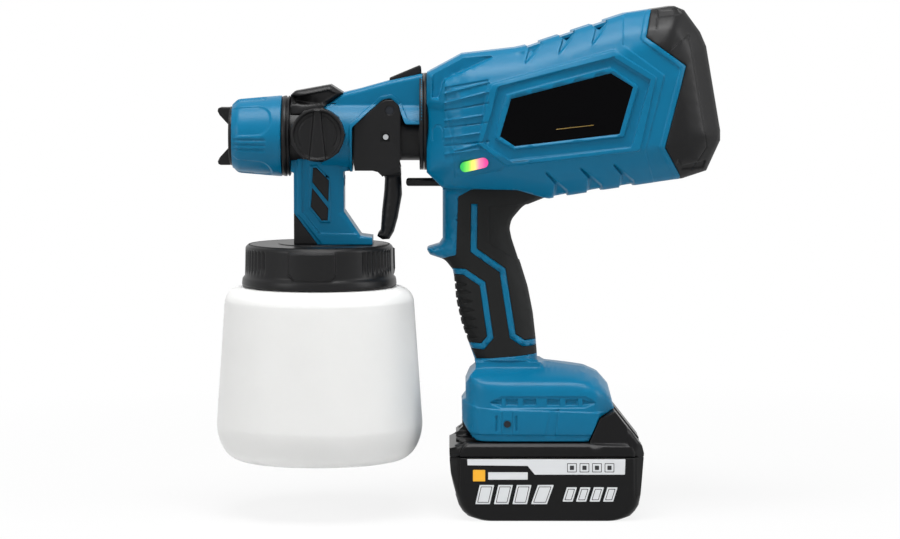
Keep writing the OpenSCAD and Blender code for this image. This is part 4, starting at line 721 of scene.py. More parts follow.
vent_low, vent_high = 68.9, 72.1
vent_places = [(-24.5, -17.5), (-14.0, -6.7), (0.1, 7.3), (10.8, 17.9)]
foot_fold = [(1.5, 65.4), (6.8, 66.0), (4.3, 50.9), (-0.8, 51.2)]
foot_details = [
    ("area", foot_upper, -0.9, 0.9),
    ("area", foot_sill, -0.7, 0.8),
    ("area", rounded(vent_recess, 0.8, 2), -0.8, 1.0),
    ("area", foot_fold, -0.6, 1.6),
    ("line", [(6.7, 66.2), (4.4, 50.8)], -0.5, 0.9),
    ("line", [(-29.9, 62.2), (-29.9, 53.8)], -1.2, 1.7),
    ("line", [(-18.3, 62.2), (-18.3, 53.8)], -1.2, 1.7),
    ("line", [(-26.9, 64.6), (-26.9, 51.4)], -0.4, 0.8),
    ("line", [(-20.6, 64.6), (-20.6, 51.4)], -0.4, 0.8),
]
vent_depth, vent_tip_depth = 1.2, 1.0
for left, right in vent_places:
    foot_details.append(("area", block(left, right, vent_low, vent_high), -vent_depth, 0.5))
for tip, wide in ((-33.0, -27.2), (27.4, 21.0)):
    foot_details.append(("area", [(tip, 70.3), (wide, vent_high), (wide, vent_low)], -vent_tip_depth, 0.5))


def foot_height(flat):
    by_height = profile(flat[:, 1], foot_by_height, soften=1.6)
    by_length = profile(flat[:, 0], foot_by_length, soften=1.6)
    crown = profile(profile(flat[:, 0], crown_line, soften=1.5) - flat[:, 1], crown_steps, soften=0.8)
    crown = crown + 40 * (1 - ease((flat[:, 0] + 7.5) / 7))
    # Smooth minimum of the three.
    share = 1.6
    return -share * np.log(np.exp(-by_height / share) + np.exp(-by_length / share) + np.exp(-crown / share))


# What the handle's and the foot's carvings may reach, from the side.
handle_zone = [(-85, 94.0), (30, 94.0), (30, 189.0), (-1.4, 189.4), (-21.4, 193.8), (-62, 195.8), (-85, 195.8)]
foot_zone = grown(foot_outline, 0.8)

# Material put behind sunk details, so that no carving opens the wall, and inside the hump and the front of the
# foot, whose rounding goes deeper than the wall: (outline, inner and outer half width, outline that limits it).
backings = [
    (grown(nose_pocket, 1.5), 30.1, 36, None),
    (grown(vent_recess, 1.5), 31.2, 34.8, None),
    (block(-46, 40, 75.5, 94), 0.05, 35.5, grown(foot_outline, -0.2)),
    (nose_filling, 13.1, 34, None),
]
backings += [(grown(outline, 2.5), 26.6, 42, grown(drum_outline, -0.8)) for outline in top_scoops]
backings.append((cap_lip, 27, 46.5, None))
# Inner and outer half width of the backing of a mouth, and the floor of the mouth.
mouth_low, mouth_high, mouth_floor = 18, 26.4, 26.5
groove_depth, thumb_depth = 0.9, 0.5


def back_up(shell, side, outline, low, high, limit):
    backing = prism("backing", outline, side * low, side * high)
    combine(shell, "UNION", trim(backing, limit) if limit else backing)


for side, half in halves:
    node = "housing_" + half
    shell = shape_of(node)
    for backing in backings:
        back_up(shell, side, *backing)
    carve(shell, side, drum_zone, housing_details, drum_height)
    for mouth in top_mouths:
        back_up(shell, side, grown(mouth, 1.6), mouth_low, mouth_high, grown(drum_outline, -0.6))
        cut(shell, mouth, side * mouth_floor, side * FAR)
    for step in edge_steps:
        cut(shell, step, side * -1, side * FAR)
    # Rounded handle, with a seat for the rubber.
    sink(shell, side, prism("around the handle", handle_zone, side * -1, side * FAR), 0)
    sink(shell, side, rubber_block(side, 0), rubber_thick)
    carve(shell, side, foot_zone, foot_details, foot_height)
    dress(shell, "shell_" + half, blue_abs, "motor_unit", node)

    rubber = rubber_block(side, 0.25)
    combine(rubber, "INTERSECT", handle_core(side, 0, base=0))
    combine(rubber, "DIFFERENCE", handle_core(side, rubber_thick - 0.05))
    for x_front, x_back, z in finger_grooves:
        groove = [
            (x_front, z + 1.5), (x_back - 3, z + 1.3), (x_back, z + 0.3),
            (x_back, z - 0.3), (x_back - 3, z - 1.1), (x_front, z - 1.3),
        ]
        sink(rubber, side, prism("groove", rounded(groove, 0.4, 2), side * -1, side * 30), groove_depth)
    sink(rubber, side, prism("thumb", rounded(thumb_panel, 1.5), side * -1, side * 30), thumb_depth)
    dress(rubber, "rubber_" + half, grip_rubber, "motor_unit", "grip_" + half, smooth=40)

cap_slot = [(64.3, 302.0), (76.0, 303.0), (78.6, 299.8), (64.6, 297.6)]
cap_low_slot = [(75.9, 215.6), (78.8, 211.1), (92.8, 214.1), (91.6, 209.8), (78.5, 208.6), (75.8, 212.4)]
cap_details = [
    ("area", rounded(cap_slot, 0.5, 2), -1.1, 0.7),
    ("area", rounded(cap_low_slot, 0.5, 2), -1.1, 0.7),
    ("line", cap_joint[1:8], -0.5, 1.4),
    ("line", [(64.0, 297.8), (63.4, 291.2)], -0.9, 1.1),
    ("line", [(60.2, 270), (82.1, 287.9), (93.2, 221.9), (84.3, 208.4)], -0.5, 0.9),
]
cap = shape_of("rear_cap")
for side, _ in halves:
    cut(cap, ahead_of_joint, side * 24, side * FAR)
    carve(cap, side, drum_zone, cap_details, lambda flat: drum_height(flat) + 0.1)
dress(cap, "intake_cap", black_abs, "motor_unit", "rear_cap")

# ---------------------------------------------------------------- spray gun

nozzle_z = 227.0
gun_split = 0.05


def gun_section(x, barrel, fin, top, low):
    """Section of the upper gun shell at one place: a round belly with an upright fin on it, up to top."""
    crest_r = 3.0
    crease = math.acos(min(1, fin / barrel))
    crease_z = nozzle_z + barrel * math.sin(crease)
    turns = np.linspace(0, math.pi / 2, 6)
    pts = [(fin - crest_r + crest_r * math.sin(a), top - crest_r + crest_r * math.cos(a)) for a in turns]
    pts += [(fin, crease_z + 1.2), (fin + 0.3, crease_z + 0.3)]
    for a in np.linspace(crease - 0.06, -math.asin(min(1, (nozzle_z - low) / barrel)), 16):
        pts.append((barrel * math.cos(a), nozzle_z + barrel * math.sin(a)))
    pts.append((pts[-1][0] - 1.0, low))
    return [(x, y, z) for y, z in pts + [(-y, z) for y, z in reversed(pts)]]


# Stations of the upper shell: place, height of the top edge.
gun_stations = [
    (-133.9, 244.3), (-130, 247.0), (-125.5, 250.2), (-121, 253.1), (-112, 255.2), (-103, 257.7), (-93.6, 260.3),
    (-85, 262.1), (-74.0, 264.4),
]
belly_r, fin_half, belly_low = 22.2, 12.6, 206.4
arch = [
    (-115.7, 186), (-115.7, 232.6), (-106.6, 241.2), (-97.6, 248.9), (-92.6, 249.8), (-88.4, 245.6), (-84.2, 234.6),
    (-60, 234.6), (-60, 186),
]
arch_lip = [
    (-117.2, 180), (-117.2, 233.8), (-108.2, 242.6), (-98.8, 250.8), (-92.4, 252.2), (-86.4, 246.6), (-82.4, 236.8),
    (-60, 236.8), (-60, 180),
]
lip_rise = 0.9
neck_outline = [
    (-152.3, 206.4), (-150.5, 205.4), (-150.5, 162.8), (-103.8, 162.8), (-103.8, 166.9), (-110.7, 167.9),
    (-120.7, 182.6),
    (-120.7, 205.6), (-116.6, 206.4), (-116.6, 216), (-152.3, 216),
]
neck_half, neck_top = 15.0, 214
neck_front = [(-160, 230), (-148.2, 230), (-148.2, 181.3), (-134.0, 163.2), (-134.0, 150), (-160, 150)]
neck_groove = [(-145.3, 216), (-145.3, 182.2), (-135.0, 169.2)]
neck_face = [(-144.6, 220), (-144.6, 182.5), (-134.6, 169.6), (-112.6, 169.2), (-122.6, 182.0), (-122.6, 220)]
neck_bevel = [(-122.6, 230), (-122.6, 182.0), (-111.0, 167.6), (-90, 167.6), (-90, 230)]
window_frame = [(-140.9, 209.6), (-136.8, 210.2), (-128.9, 201.6), (-128.7, 176.0), (-134.4, 176.0), (-141.4, 184.9)]
foot_wedge = [(-156, 181.4), (-150.3, 181.4), (-136.6, 163.0), (-136.6, 150), (-156, 150)]
neck_filling = [
    (-150, 210), (-150, 213.9), (-118, 213.9), (-118, 206.8), (-120.9, 206.2), (-120.9, 197), (-127.9, 197),
    (-129.6, 203.2), (-132.4, 205.6), (-136.0, 210),
]
neck_details = [
    ("area", neck_front, -0.9, 0.8),
    ("line", neck_groove, -0.8, 1.2),
    ("area", neck_face, -0.7, 0.8),
    ("area", rounded(window_frame, 1), 0.7, 0.8),
    ("area", neck_bevel, -1.8, 2.4),
]


def gun_form(rise):
    """Upper shell, thicker by rise; its top and bottom edges grow by 0.3 mm at most."""
    edge = min(rise, 0.3)
    rings = [gun_section(x, belly_r + rise, fin_half + rise, top + edge, belly_low - edge) for x, top in gun_stations]
    return skin("gun form", rings)


belly = cut(gun_form(0), rounded(arch, 2.5))
lip = trim(cut(gun_form(lip_rise), rounded(arch, 2.5)), rounded(arch_lip, 3.0))
combine(belly, "UNION", lip)
# Rim plate behind the shell, in front of the ring of the motor unit.
plate_profile = [(-75.1, 0), (-75.1, 28.4), (-74.7, 28.9), (-74.1, 28.9), (-73.8, 28.6), (-73.8, 0)]
plate = turned("rim plate", plate_profile, (0, 0, 235.7))
combine(belly, "UNION", cut(plate, block(-90, -60, 190, 234.8)))
# Pocket for the catch.
cut(belly, [(-94.1, 256.6), (-60, 256.6), (-60, 280), (-94.1, 280)], -7.4, 7.4)

for side, half in halves:
    node = "gun_shell_" + half
    upper = trim(copy_of(belly), block(-170, -50, 150, 290), side * gun_split, side * FAR)
    dress(upper, "gun_shell_upper_" + half, blue_abs, "gun", node)
    # Neck: what the node has below the upper shell, less the plain block behind it.
    neck = cut(shape_of(node), block(-170, -50, neck_top, 290))
    cut(neck, [(-120.6, 206.3), (-120.6, 190), (-60, 190), (-60, 206.3)])
    fill(neck, neck_filling, side * 7, side * 15.5)
    carve(neck, side, grown(neck_outline, 0.6), neck_details, level(neck_half))
    wedge = trim(copy_of(neck), foot_wedge)
    cut(neck, grown(foot_wedge, 0.15))
    dress(neck, "gun_neck_" + half, blue_abs, "gun", node)
    dress(wedge, "neck_wedge_" + half, black_abs, "gun", node)
bpy.data.objects.remove(belly)

# Nut: flats for the fingers, with grooves between them.
nut_front, nut_rear, nut_bore = -187.4, -157.8, 20.1
nut_profile = [(0, 19.0), (0.5, 19.5), (2.4, 21.2), (3.4, 21.8), (4.6, 22.1), (28.0, 24.1), (29.2, 24.1), (29.6, 23.7)]
flat_centre, flat_half, flat_depth = math.radians(27), 9.6, 0.7
# Each flat ends in a round tip, which starts at flat_end and is tip_length long.
flat_end, tip_length = -171.6, 7.8
groove_centre, groove_pitch = math.radians(-12), math.radians(7.6)
groove_end, groove_sink = -167.6, 0.8


def nut_radius(x, angles):
    base = float(np.interp(x - nut_front, *zip(*nut_profile)))
    # Angle from the left side upwards, folded into one quarter turn around a centre.
    turn = np.pi - angles

    def fold(centre):
        return (turn - centre + np.pi / 4) % (np.pi / 2) - np.pi / 4

    arc = np.abs(fold(flat_centre)) * base
    past = max(0.0, x - flat_end)
    within = flat_half - (arc if past == 0 else np.hypot(arc, past * flat_half / tip_length))
    radii = base - flat_depth * ease(within / 0.8 + 0.5)
    for k in (-1, 0, 1):
        arc = np.abs(fold(groove_centre) - k * groove_pitch) * base
        radii = radii - groove_sink * (1 - ease((arc - 0.35) / 0.5)) * (1 - ease((x - groove_end) / 1.0))
    return radii


nut_stations = list(np.arange(nut_front, nut_rear, 0.55)) + [nut_rear]
nut = waved("nut", nut_stations, nut_radius, (0, 0, nozzle_z), "x", bore=18.6)
bore_front, bore_rear = nut_front + 2.7, nut_rear + 1
bore_profile = [(bore_front, 0), (bore_front, nut_bore), (bore_rear, nut_bore), (bore_rear, 0)]
combine(nut, "DIFFERENCE", turned("bore", bore_profile, (0, 0, nozzle_z)))
lip_profile = [(0, 18.0), (0, 19.0), (2.4, 20.6), (2.8, 20.6), (2.8, 18.0)]
front_lip = turned("front lip", [(nut_front + x, r) for x, r in lip_profile], (0, 0, nozzle_z))
combine(nut, "UNION", front_lip)
dress(nut, "cap_nut", blue_abs, "nut", "nozzle_nut", smooth=40)

# Flow knob: a raised tapered pointer across a sunk face, with short arcs beside it and nubs round the rim.
knob_x, knob_z, knob_r = -135.5, 228.8, 16.2
knob_back, knob_face = 22.5, 36.5
pointer = [(-1.9, 15.0), (1.9, 15.0), (4.9, -15.0), (-4.9, -15.0)]


def around_knob(r, start, end, steps=20):
    return [(knob_x + r * math.cos(a), knob_z + r * math.sin(a)) for a in np.radians(np.linspace(start, end, steps))]


knob_edge = [
    (knob_x + r * math.cos(a), knob_z + r * math.sin(a))
    for a in np.linspace(0, 2 * math.pi, 180, endpoint=False)
    for r in [knob_r - 0.5 + 0.5 * max(0.0, math.cos(9 * a)) ** 6]
]
knob_details = [
    ("area", circle(knob_x, knob_z, 13.9, 90), -1.7, 0.8),
    ("area", [(knob_x + x, knob_z + z) for x, z in pointer], 2.7, 0.9),
    ("line", around_knob(11.6, 100, 215), -0.5, 0.9),
    ("line", around_knob(11.6, -35, 78), -0.5, 0.9),
]


def knob_height(flat):
    rim = knob_r - np.hypot(flat[:, 0] - knob_x, flat[:, 1] - knob_z)
    return knob_face + np.interp(rim, [0, 0.4, 1.1], [-1.2, -0.4, 0])


knob = relief_solid("knob", knob_edge, knob_details, knob_height, knob_back, -1, pitch=1.0, lattice=2.5)
combine(knob, "UNION", prism("spindle", circle(knob_x, knob_z, 4.0, 32), -knob_back - 1, -5))
dress(knob, "tap_knob", black_abs, "knob", "flow_knob", smooth=40)

# Top cover, with a sunk panel in each flank.
cover_outline = [
    (-152.2, 239.0), (-152.2, 251.8), (-149.8, 254.0), (-128.7, 257.8), (-121.0, 252.9), (-133.9, 243.9),
    (-133.9, 239.0),
]
cover_panel = [(-149.9, 248.2), (-149.4, 250.6), (-129.4, 254.6), (-125.2, 252.6), (-134.6, 246.4)]
cover_steps = [(-1, 10.8), (0, 12.0), (1.2, 13.8), (2.6, 14.8), (4, 15.0), (20, 15.0)]
cover_half, cover_split = 15.0, 246


def cover_height(flat):
    """Rounded above cover_split, upright below it."""
    crown = profile(inside(flat, cover_outline[1:6]), cover_steps, soften=0.3)
    return crown * (flat[:, 1] > cover_split) + cover_half * (flat[:, 1] <= cover_split)


cover = shape_of("top_cover")
cover_details = [("area", rounded(cover_panel, 0.6, 2), -1.0, 0.7)]
for side, _ in halves:
    carve(cover, side, grown(cover_outline, 0.6), cover_details, cover_height)
dress(cover, "front_cover", black_abs, "gun", "top_cover")

# Trigger: its lever is rounded in section, its cheeks are flat.
lever_outline = [
    (-87.0, 208), (-86.3, 191.9), (-88.8, 178.2), (-91.1, 170.0), (-93.8, 164.9), (-98.4, 164.5), (-102.4, 167.0),
    (-101.8, 169.6), (-99.0, 171.0), (-98.3, 181.8), (-96.9, 194.6), (-96.5, 201.9), (-97.8, 205.1), (-97.8, 208),
]
lever_steps = [(-1, 2.0), (0, 4.0), (0.8, 6.0), (2.2, 8.0), (4.5, 9.0), (20, 9.1)]
lever_round = rounded(lever_outline, [0, 3, 5, 5, 3, 3, 1.5, 2, 2, 9, 9, 4, 2, 0])


def lever_height(flat):
    return profile(inside(flat, lever_outline), lever_steps, soften=0.3)


lever = shape_of("trigger")
for side, _ in halves:
    around = prism("around the lever", block(-110, -80, 160, 203.4), side * 0.5, side * 30)
    core = relief_solid("lever core", lever_round, [], lever_height, -1.0, side, lattice=2.5)
    combine(lever, "DIFFERENCE", combine(around, "DIFFERENCE", core))
cheek_foot = [
    (-120, 207.0), (-103.5, 207.0), (-100.4, 206.2), (-98.6, 204.4), (-97.8, 202.0), (-97.6, 198), (-120, 198),
]
cut(lever, cheek_foot)
dress(lever, "trigger_lever_and_cheeks", black_abs, "trigger_lever", "trigger", smooth=40)

catch_outline = [
    (-93.6, 259.6), (-93.6, 261.8), (-75.9, 269.2), (-74.9, 268.4), (-74.6, 264.6), (-76.4, 263.0), (-76.4, 259.6),
]
catch = prism("catch", rounded(catch_outline, 0.7, 3), -6.9, 6.9, rim=0.6)
dress(catch, "latch_key", black_abs, "catch", "release_catch")

# Broken edges on the plain mouldings and turnings that stay as they are.
for node_name, width in (
    ("air_cap", 0.35), ("gun_barrel", 0.3), ("barrel_ring", 0.4), ("socket_ring", 0.4), ("neck_inserts", 0.35),
    ("release_button", 0.5), ("cup_lid", 0.3), ("link_pin", 0.2), ("trigger_pin", 0.2),
):
    bevel = frame["nodes"][node_name].modifiers.new("broken edge", "BEVEL")
    bevel.width, bevel.segments, bevel.limit_method, bevel.angle_limit = width * MM, 2, "ANGLE", math.radians(40)

# Switch plunger with a round nose.
plunger = shape_of("switch_plunger")
nose_outline = [
    (-83.9, 196.8), (-83.9, 202.0), (-76, 202.0), (-76, 220), (20, 220), (20, 180), (-76, 180), (-76, 196.8),
]
trim(plunger, rounded(nose_outline, [2.5, 2.5, 0, 0, 0, 0, 0, 0]), -20, 20)
dress(plunger, "plunger_nose", black_abs, "plunger", "switch_plunger")

# ---------------------------------------------------------------- cup and collar

cup_x = -136.0
collar_low, collar_high, collar_bore = 137.5, 162.4, 42.1
collar_profile = [
    (0, 46.0), (1.2, 46.4), (4.6, 46.0), (6.2, 44.6), (12.4, 44.4), (22.6, 44.2), (23.6, 43.8), (24.4, 42.9),
    (24.9, 41.6),
]
# Grip panels: half width and place round the collar, height over its foot, cut corner, gap to the top, rise.
panel_half, panel_turn = math.radians(18.5), math.radians(-3.4)
panel_foot, panel_corner, panel_gap, panel_rise = 5.4, 3.8, 2.4, 1.5
flute_turn, flute_pitch, flute_depth = math.radians(50), math.radians(5.0), 1.1


def collar_radius(z, angles):
    base = float(np.interp(z - collar_low, *zip(*collar_profile)))
    # Angle from the nearest of three grip panels, one of which faces left.
    turn = (angles - panel_turn + np.pi / 2 + np.pi / 3) % (np.pi * 2 / 3) - np.pi / 3
    side_gap = (panel_half - np.abs(turn)) * base
    lowest = collar_low + panel_foot + np.clip(panel_corner - side_gap, 0, panel_corner)
    within = np.minimum(side_gap, np.minimum(z - lowest, collar_high - panel_gap - z))
    radii = base + panel_rise * ease(within / 0.7)
    # Flutes on both sides of each panel, narrower towards the foot.
    fade = ease((z - collar_low - 6.5) / 6.0) * ease((collar_high - panel_gap - z) / 1.2)
    for k in (-1.5, -0.5, 0.5, 1.5):
        gap = (np.abs(turn) - flute_turn - k * flute_pitch) * base
        radii = radii - flute_depth * (1 - ease((np.abs(gap) - 0.3) / 0.9)) * fade
    return radii


# Stations lie closer at the rounded top edge.
top_edge = collar_high - 2.6
collar_stations = [*np.arange(collar_low, top_edge, 0.8), *np.arange(top_edge, collar_high, 0.3), collar_high]
collar = waved("collar", collar_stations, collar_radius, (cup_x, 0, 0), "z", sides=360, bore=collar_bore)
deck_profile = [(159.8, 24.4), (159.8, 42.6), (162.2, 42.6), (162.3, 41.0), (162.4, 40.0), (162.4, 24.8), (162.1, 24.4)]
combine(collar, "UNION", turned("deck", deck_profile, (cup_x, 0, 0), "z"))
dress(collar, "cup_ring", black_abs, "collar", "cup_collar", smooth=40)


def arc(x, z, r_x, r_z, start, end, steps=12):
    return [(z + r_z * math.sin(a), x + r_x * math.cos(a)) for a in np.radians(np.linspace(start, end, steps))]


cup_wall = 1.8
cup_foot, foot_rise, foot_wide, shoulder_z, cup_top = 33.3, 22.0, 13.8, 127.2, 155.2
# Outside from the underside's hollow up to the mouth, then back down the inside.
cup_profile = [(cup_foot + 0.7, 0), (cup_foot + 0.7, 30), (cup_foot, 34)]
cup_profile += arc(48.0, cup_foot + foot_rise, foot_wide, foot_rise, -88, 0, 16)
cup_profile += arc(46.4, shoulder_z, 10.4, 9.6, 6, 84, 14)
cup_profile += [(136.9, 44.0), (137.2, 41.9), (138.2, 41.6), (cup_top, 41.6), (cup_top, 39.4), (135.4, 39.4)]
cup_profile += arc(46.4, shoulder_z, 10.4 - cup_wall, 9.6 - cup_wall, 84, 6, 8)
cup_profile += arc(48.0, cup_foot + foot_rise, foot_wide - cup_wall, foot_rise - cup_wall, 0, -88, 10)
cup_profile += [(cup_foot + cup_wall + 0.6, 30), (cup_foot + cup_wall + 0.6, 0)]
cup = turned("cup", cup_profile, (cup_x, 0, 0), "z", sides=128)
dress(cup, "paint_cup_body", cup_hdpe, "cup", "paint_cup", smooth=40)

# ---------------------------------------------------------------- battery pack

pack_half, seam_z = 37.0, 38.0
# Ends of the case: (height, front, rear).
pack_ends = [
    (-0.5, -41.5, 41.5), (0, -40.0, 43.0), (2.5, -47.0, 49.6), (5.4, -50.2, 52.4), (9, -52.4, 54.6),
    (16, -54.6, 56.0), (28, -57.2, 57.0),
    (36, -57.9, 57.5), (39.7, -58.0, 57.6), (42.7, -58.0, 57.0),
]
corner_r, foot_r = 8.0, 1.8


def pack_ring(z, inset=0.0):
    """Rounded plan of the case at one height; its lower rim is rounded too."""
    heights, fronts, rears = zip(*pack_ends)
    dip = max(0.0, foot_r - z)
    drop = foot_r - math.sqrt(max(0.0, foot_r**2 - dip**2))
    y = pack_half - drop - inset
    x0, x1 = np.interp(z, heights, fronts) + inset, np.interp(z, heights, rears) - inset
    r = corner_r
    ring = []
    for cx, cy, start in ((x1 - r, y - r, 0), (x0 + r, y - r, 90), (x0 + r, r - y, 180), (x1 - r, r - y, 270)):
        turns = np.radians(np.linspace(start, start + 90, 10))
        ring += [(cx + r * math.cos(a), cy + r * math.sin(a), z) for a in turns]
    return ring


lower_levels = [0.0, 0.3, 0.8, 1.5, 2.5, 3.8, 5.4, 9, 16, 28, 36, seam_z - 0.7]
lower_rings = [pack_ring(z) for z in lower_levels]
# Groove of the seam at the top.
lower_rings += [pack_ring(seam_z - 0.25, 0.5), pack_ring(seam_z - 0.2, 0.5)]
lower = shape_of("pack_case_lower")
# Solid lower corners, which the rounding of the rim is cut from.
for end_filling in ([(-57, 0.2), (-57, 15), (-49, 15), (-43, 0.2)], [(57, 0.2), (57, 15), (50, 15), (44, 0.2)]):
    fill(lower, end_filling, -36.5, 36.5)
for side, _ in halves:
    fill(lower, block(-57, 57, 0, 8), side * 33.2, side * pack_half)
combine(lower, "INTERSECT", skin("lower form", lower_rings))
# End caps of the case stand back from the side panels.
end_zones = [block(-70, -51.6, 13, 60), block(70, 51.9, 13, 60)]
pack_zone = [(-62, -1), (62, -1), (62, 47.8), (-62, 47.8)]
case_details = [("area", rounded(zone, 2), -2.6, 0.7) for zone in end_zones]
for side, _ in halves:
    carve(lower, side, pack_zone, case_details, level(pack_half + 0.3), lattice=5)
dress(lower, "pack_tray", pack_abs, "pack", "pack_case_lower")

upper = shape_of("pack_case_upper")
upper_top = [
    (-60, 37.0), (-60, 41.0), (-57.2, 43.6), (-52.6, 45.0), (-46.9, 46.6), (25.0, 46.6), (31.0, 60.8), (39.2, 65.2),
    (41.0, 64.8), (57.2, 43.6),
    (60, 41), (60, 37.0),
]
lid_round = rounded(upper_top, [0, 2, 2, 3, 4, 0, 0, 4, 2, 3, 2, 0])
shoulder_steps = [(-1, 33.6), (0, 34.4), (0.7, 35.8), (1.6, 36.7), (2.6, 37.0), (60, 37.05)]
# The end caps go on above the seam, up to arched corners.
lid_ends = [
    [(-70, 30), (-70, 60), (-46.8, 60), (-46.8, 46.2), (-50.0, 44.0), (-51.6, 40.6), (-51.6, 30)],
    [(70, 30), (70, 60), (47.0, 60), (47.0, 46.2), (50.2, 44.0), (51.9, 40.6), (51.9, 30)],
]
lid_details = [("area", rounded(zone, 1.5), -2.4, 0.7) for zone in lid_ends]
lid_details.append(("line", [(-70, seam_z), (70, seam_z)], -0.8, 0.9))


def lid_height(flat):
    return profile(inside(flat, lid_round), shoulder_steps, soften=0.3)


for side, _ in halves:
    carve(upper, side, grown(upper_top, 0.5), lid_details, lid_height, lattice=5)
# Slope at the front end of the rail, and its flanges cut back beside it.
rail_nose = [(-62, 48.2), (-55.5, 48.6), (-52.4, 51.0), (-49.9, 53.4), (-50.4, 57.0), (-50.4, 70), (-62, 70)]
cut(upper, rail_nose, -40, 40)
for side, _ in halves:
    cut(upper, [(-62, 48.0), (-43.9, 48.0), (-43.9, 70), (-62, 70)], side * 12.7, side * 40)
dress(upper, "pack_lid", pack_abs, "pack", "pack_case_upper")

# Printed film on the flanks of the pack: plain bars, squares and a stripe, no words.
film_rise = 0.22


def film(name, outline, material, side, lift=0.0):
    """Printed skin on one flank; lift raises it over the print below."""
    piece = prism(name, rounded(outline, 0.3, 2), side * (pack_half - 0.1), side * (pack_half + film_rise + lift))
    dress(piece, name, material, "pack")


def slanted(x0, x1, z0, z1, lean=2.6):
    return [(x0, z0), (x1, z0), (x1 + lean, z1), (x0 + lean, z1)]


stripe_outline = [(-47.4, 37.2), (46.2, 37.2), (45.9, 28.0), (-7.4, 28.0), (-11.7, 33.2), (-47.2, 33.6)]
large_bars = [slanted(x, x + 8.6, 10.4, 21.8) for x in (-42.6, -31.6, -20.6)] + [slanted(-9.6, -0.2, 10.4, 21.8, 4.0)]
small_bars = [slanted(x, x + 6.0, 11.9, 20.4) for x in (9.0, 17.0, 25.0, 33.0)]
icon_squares = [(11.7, 17.4), (19.1, 24.8), (26.5, 32.2), (33.9, 39.6)]

# ---------------------------------------------------------------- printed and lit finishes

def ink(kind, colour, rough=0.35):
    """Screen-printed ink: flat, with a slight gloss, on a skin that follows the case."""
    return moulded("printed " + kind, colour, rough, grain=0.8, depth=0.01, edge=0.1, tint=0.03)


label_silver, label_yellow = ink("vinyl silver", "#cfd1d3"), ink("vinyl yellow", "#eaa91e")
label_black, label_gold = ink("vinyl black", "#16171a", 0.4), ink("ink gold", "#7d6424")
# Layers that lie one on the other: (name, growth of the outline, colour, lift).
block_layers = [("block", 0, label_silver, 0.0), ("core", -0.9, label_black, 0.04), ("fill", -1.3, label_silver, 0.08)]
# Frame, field and mark of an icon: (name, inset, low and high edge, colour, lift).
icon_layers = [
    ("icon", 0, 29.4, 34.8, label_black, 0.04),
    ("icon_fill", 0.4, 29.8, 34.4, label_silver, 0.08),
    ("icon_mark", 1.6, 30.8, 33.4, label_black, 0.12),
]

for side, half in halves:
    film("label_stripe_" + half, stripe_outline, label_silver, side)
    film("label_square_" + half, block(-44.0, -36.8, 24.0, 30.8), label_yellow, side)
    film("label_bar_" + half, block(-35.0, -11.6, 25.0, 29.4), label_silver, side)
    for i, outline in enumerate(large_bars + small_bars):
        for kind, growth, colour, lift in block_layers:
            film(f"label_{kind}_{i}_{half}", grown(outline, growth) if growth else outline, colour, side, lift)
    for i, (left, right) in enumerate(icon_squares):
        for kind, inset, low, high, colour, lift in icon_layers:
            film(f"label_{kind}_{i}_{half}", block(left + inset, right - inset, low, high), colour, side, lift)

# Lit status lens: frosted polycarbonate over three small lamps, green, amber and pink.
lit_lens, lens_tree = blank("lit polycarbonate lens")
lens_place = add_node(lens_tree, "ShaderNodeTexCoord")
lens_axes = add_node(lens_tree, "ShaderNodeSeparateXYZ", links={"Vector": (lens_place, "Object")})
# Front and rear end of the lens.
lens_ends = {"From Min": -51.0 * MM, "From Max": -36.0 * MM}
lens_span = add_node(lens_tree, "ShaderNodeMapRange", lens_ends, {"Value": (lens_axes, "X")})
lens_ramp = add_node(lens_tree, "ShaderNodeValToRGB", links={"Fac": (lens_span, "Result")})
ramp = lens_ramp.color_ramp
ramp.elements[0].position, ramp.elements[0].color = 0.05, linear("#1fa84a")
ramp.elements[1].position, ramp.elements[1].color = 0.95, linear("#d83c8c")
for position, hexa in ((0.28, "#7fdc4e"), (0.5, "#f4dc6a"), (0.7, "#f27fa0")):
    ramp.elements.new(position).color = linear(hexa)
glow = {"Roughness": 0.3, "Emission Strength": 0.45}
surface(lens_tree, glow, {"Base Color": (lens_ramp, "Color"), "Emission Color": (lens_ramp, "Color")})
frame["nodes"]["led_lens"].data.materials[0] = lit_lens

# Fine printed line on the left plate, the only mark it keeps.
line_inner, line_outer = -45.85, -45.95
line_outline = [(4.4, 232.4), (26.4, 234.9), (26.4, 235.3), (4.4, 232.8)]
line_piece = prism("plate_line", line_outline, line_inner, line_outer)
dress(line_piece, "plate_line", label_gold, "motor_unit")

# ---------------------------------------------------------------- floor, walls and lamps


def stage_sheet(name, size, height):
    corners = [(-size, -size, height), (size, -size, height), (size, size, height), (-size, size, height)]
    mesh = bpy.data.meshes.new(name)
    mesh.from_pydata(corners, [], [(0, 1, 2, 3)])
    obj = bpy.data.objects.new(name, mesh)
    scene.collection.objects.link(obj)
    return obj


def shown(tree):
    """One for rays from the camera, from glossy and from clear surfaces, and nought for the rest."""
    ray = add_node(tree, "ShaderNodeLightPath")
    views = {0: (ray, "Is Camera Ray"), 1: (ray, "Is Glossy Ray")}
    either = add_node(tree, "ShaderNodeMath", links=views, operation="MAXIMUM")
    return add_node(
        tree, "ShaderNodeMath", links={0: (either, 0), 1: (ray, "Is Transmission Ray")}, operation="MAXIMUM"
    )


def mixed(tree, share, first, second):
    return add_node(tree, "ShaderNodeMixShader", links={"Fac": share, 1: (first, 0), 2: (second, 0)})


# Matt white studio paper: it takes a soft shadow near the object and turns pure white further out.
paper, paper_tree = blank("coated studio paper")
paper_shown = shown(paper_tree)
paper_place = add_node(paper_tree, "ShaderNodeTexCoord")
spread = add_node(paper_tree, "ShaderNodeVectorMath", links={0: (paper_place, "Object")}, operation="LENGTH")
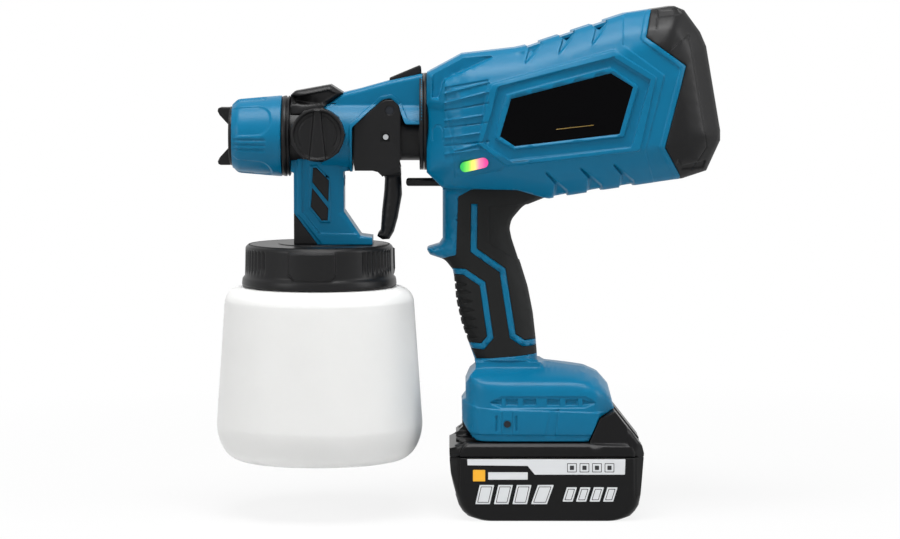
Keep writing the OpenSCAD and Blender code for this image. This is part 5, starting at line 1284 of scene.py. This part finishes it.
# From the first distance to the second, in metres, the paper brightens to pure white.
whiten = {"From Min": 0.15, "From Max": 0.7, "To Min": 0.86, "To Max": 1.0}
whiteness = add_node(paper_tree, "ShaderNodeMapRange", whiten, {"Value": (spread, "Value")})
matt = add_node(paper_tree, "ShaderNodeBsdfDiffuse", {"Color": linear("#d8d8d8")})
bright = add_node(paper_tree, "ShaderNodeEmission", {"Color": (1, 1, 1, 1), "Strength": 1.0})
part_white = mixed(paper_tree, (whiteness, "Result"), matt, bright)
paper_mix = mixed(paper_tree, (paper_shown, 0), matt, part_white)
add_node(paper_tree, "ShaderNodeOutputMaterial", links={"Surface": (paper_mix, 0)})
floor = stage_sheet("studio_floor", 12.0, 0.0)
floor.data.materials.append(paper)

# The world looks white, but lights the object with a weaker fill.
fill_light = 0.27
world = bpy.data.worlds.new("studio")
scene.world = world
world.use_nodes = True
sky = world.node_tree
sky.nodes.clear()
sky_shown = shown(sky)
sky_plain = add_node(sky, "ShaderNodeBackground", {"Color": (1, 1, 1, 1), "Strength": fill_light})
sky_white = add_node(sky, "ShaderNodeBackground", {"Color": (1, 1, 1, 1), "Strength": 1.0})
sky_mix = mixed(sky, (sky_shown, 0), sky_plain, sky_white)
add_node(sky, "ShaderNodeOutputWorld", links={"Surface": (sky_mix, 0)})


def softbox(name, place, target, width, height, watts):
    lamp = bpy.data.lights.new(name, "AREA")
    lamp.shape = "RECTANGLE"
    lamp.size = width
    lamp.size_y = height
    lamp.energy = watts
    obj = bpy.data.objects.new(name, lamp)
    obj.location = place
    obj.rotation_euler = (Vector(target) - Vector(place)).to_track_quat("-Z", "Y").to_euler()
    scene.collection.objects.link(obj)


softbox("overhead_softbox", (-0.1, -0.45, 1.45), (0, 0, 0.15), width=1.0, height=0.7, watts=25)
softbox("front_softbox", (-1.9, -1.5, 0.9), (0, 0, 0.15), width=0.9, height=0.9, watts=15)
softbox("rear_softbox", (1.7, -0.5, 0.8), (0, 0, 0.12), width=0.6, height=1.2, watts=13)
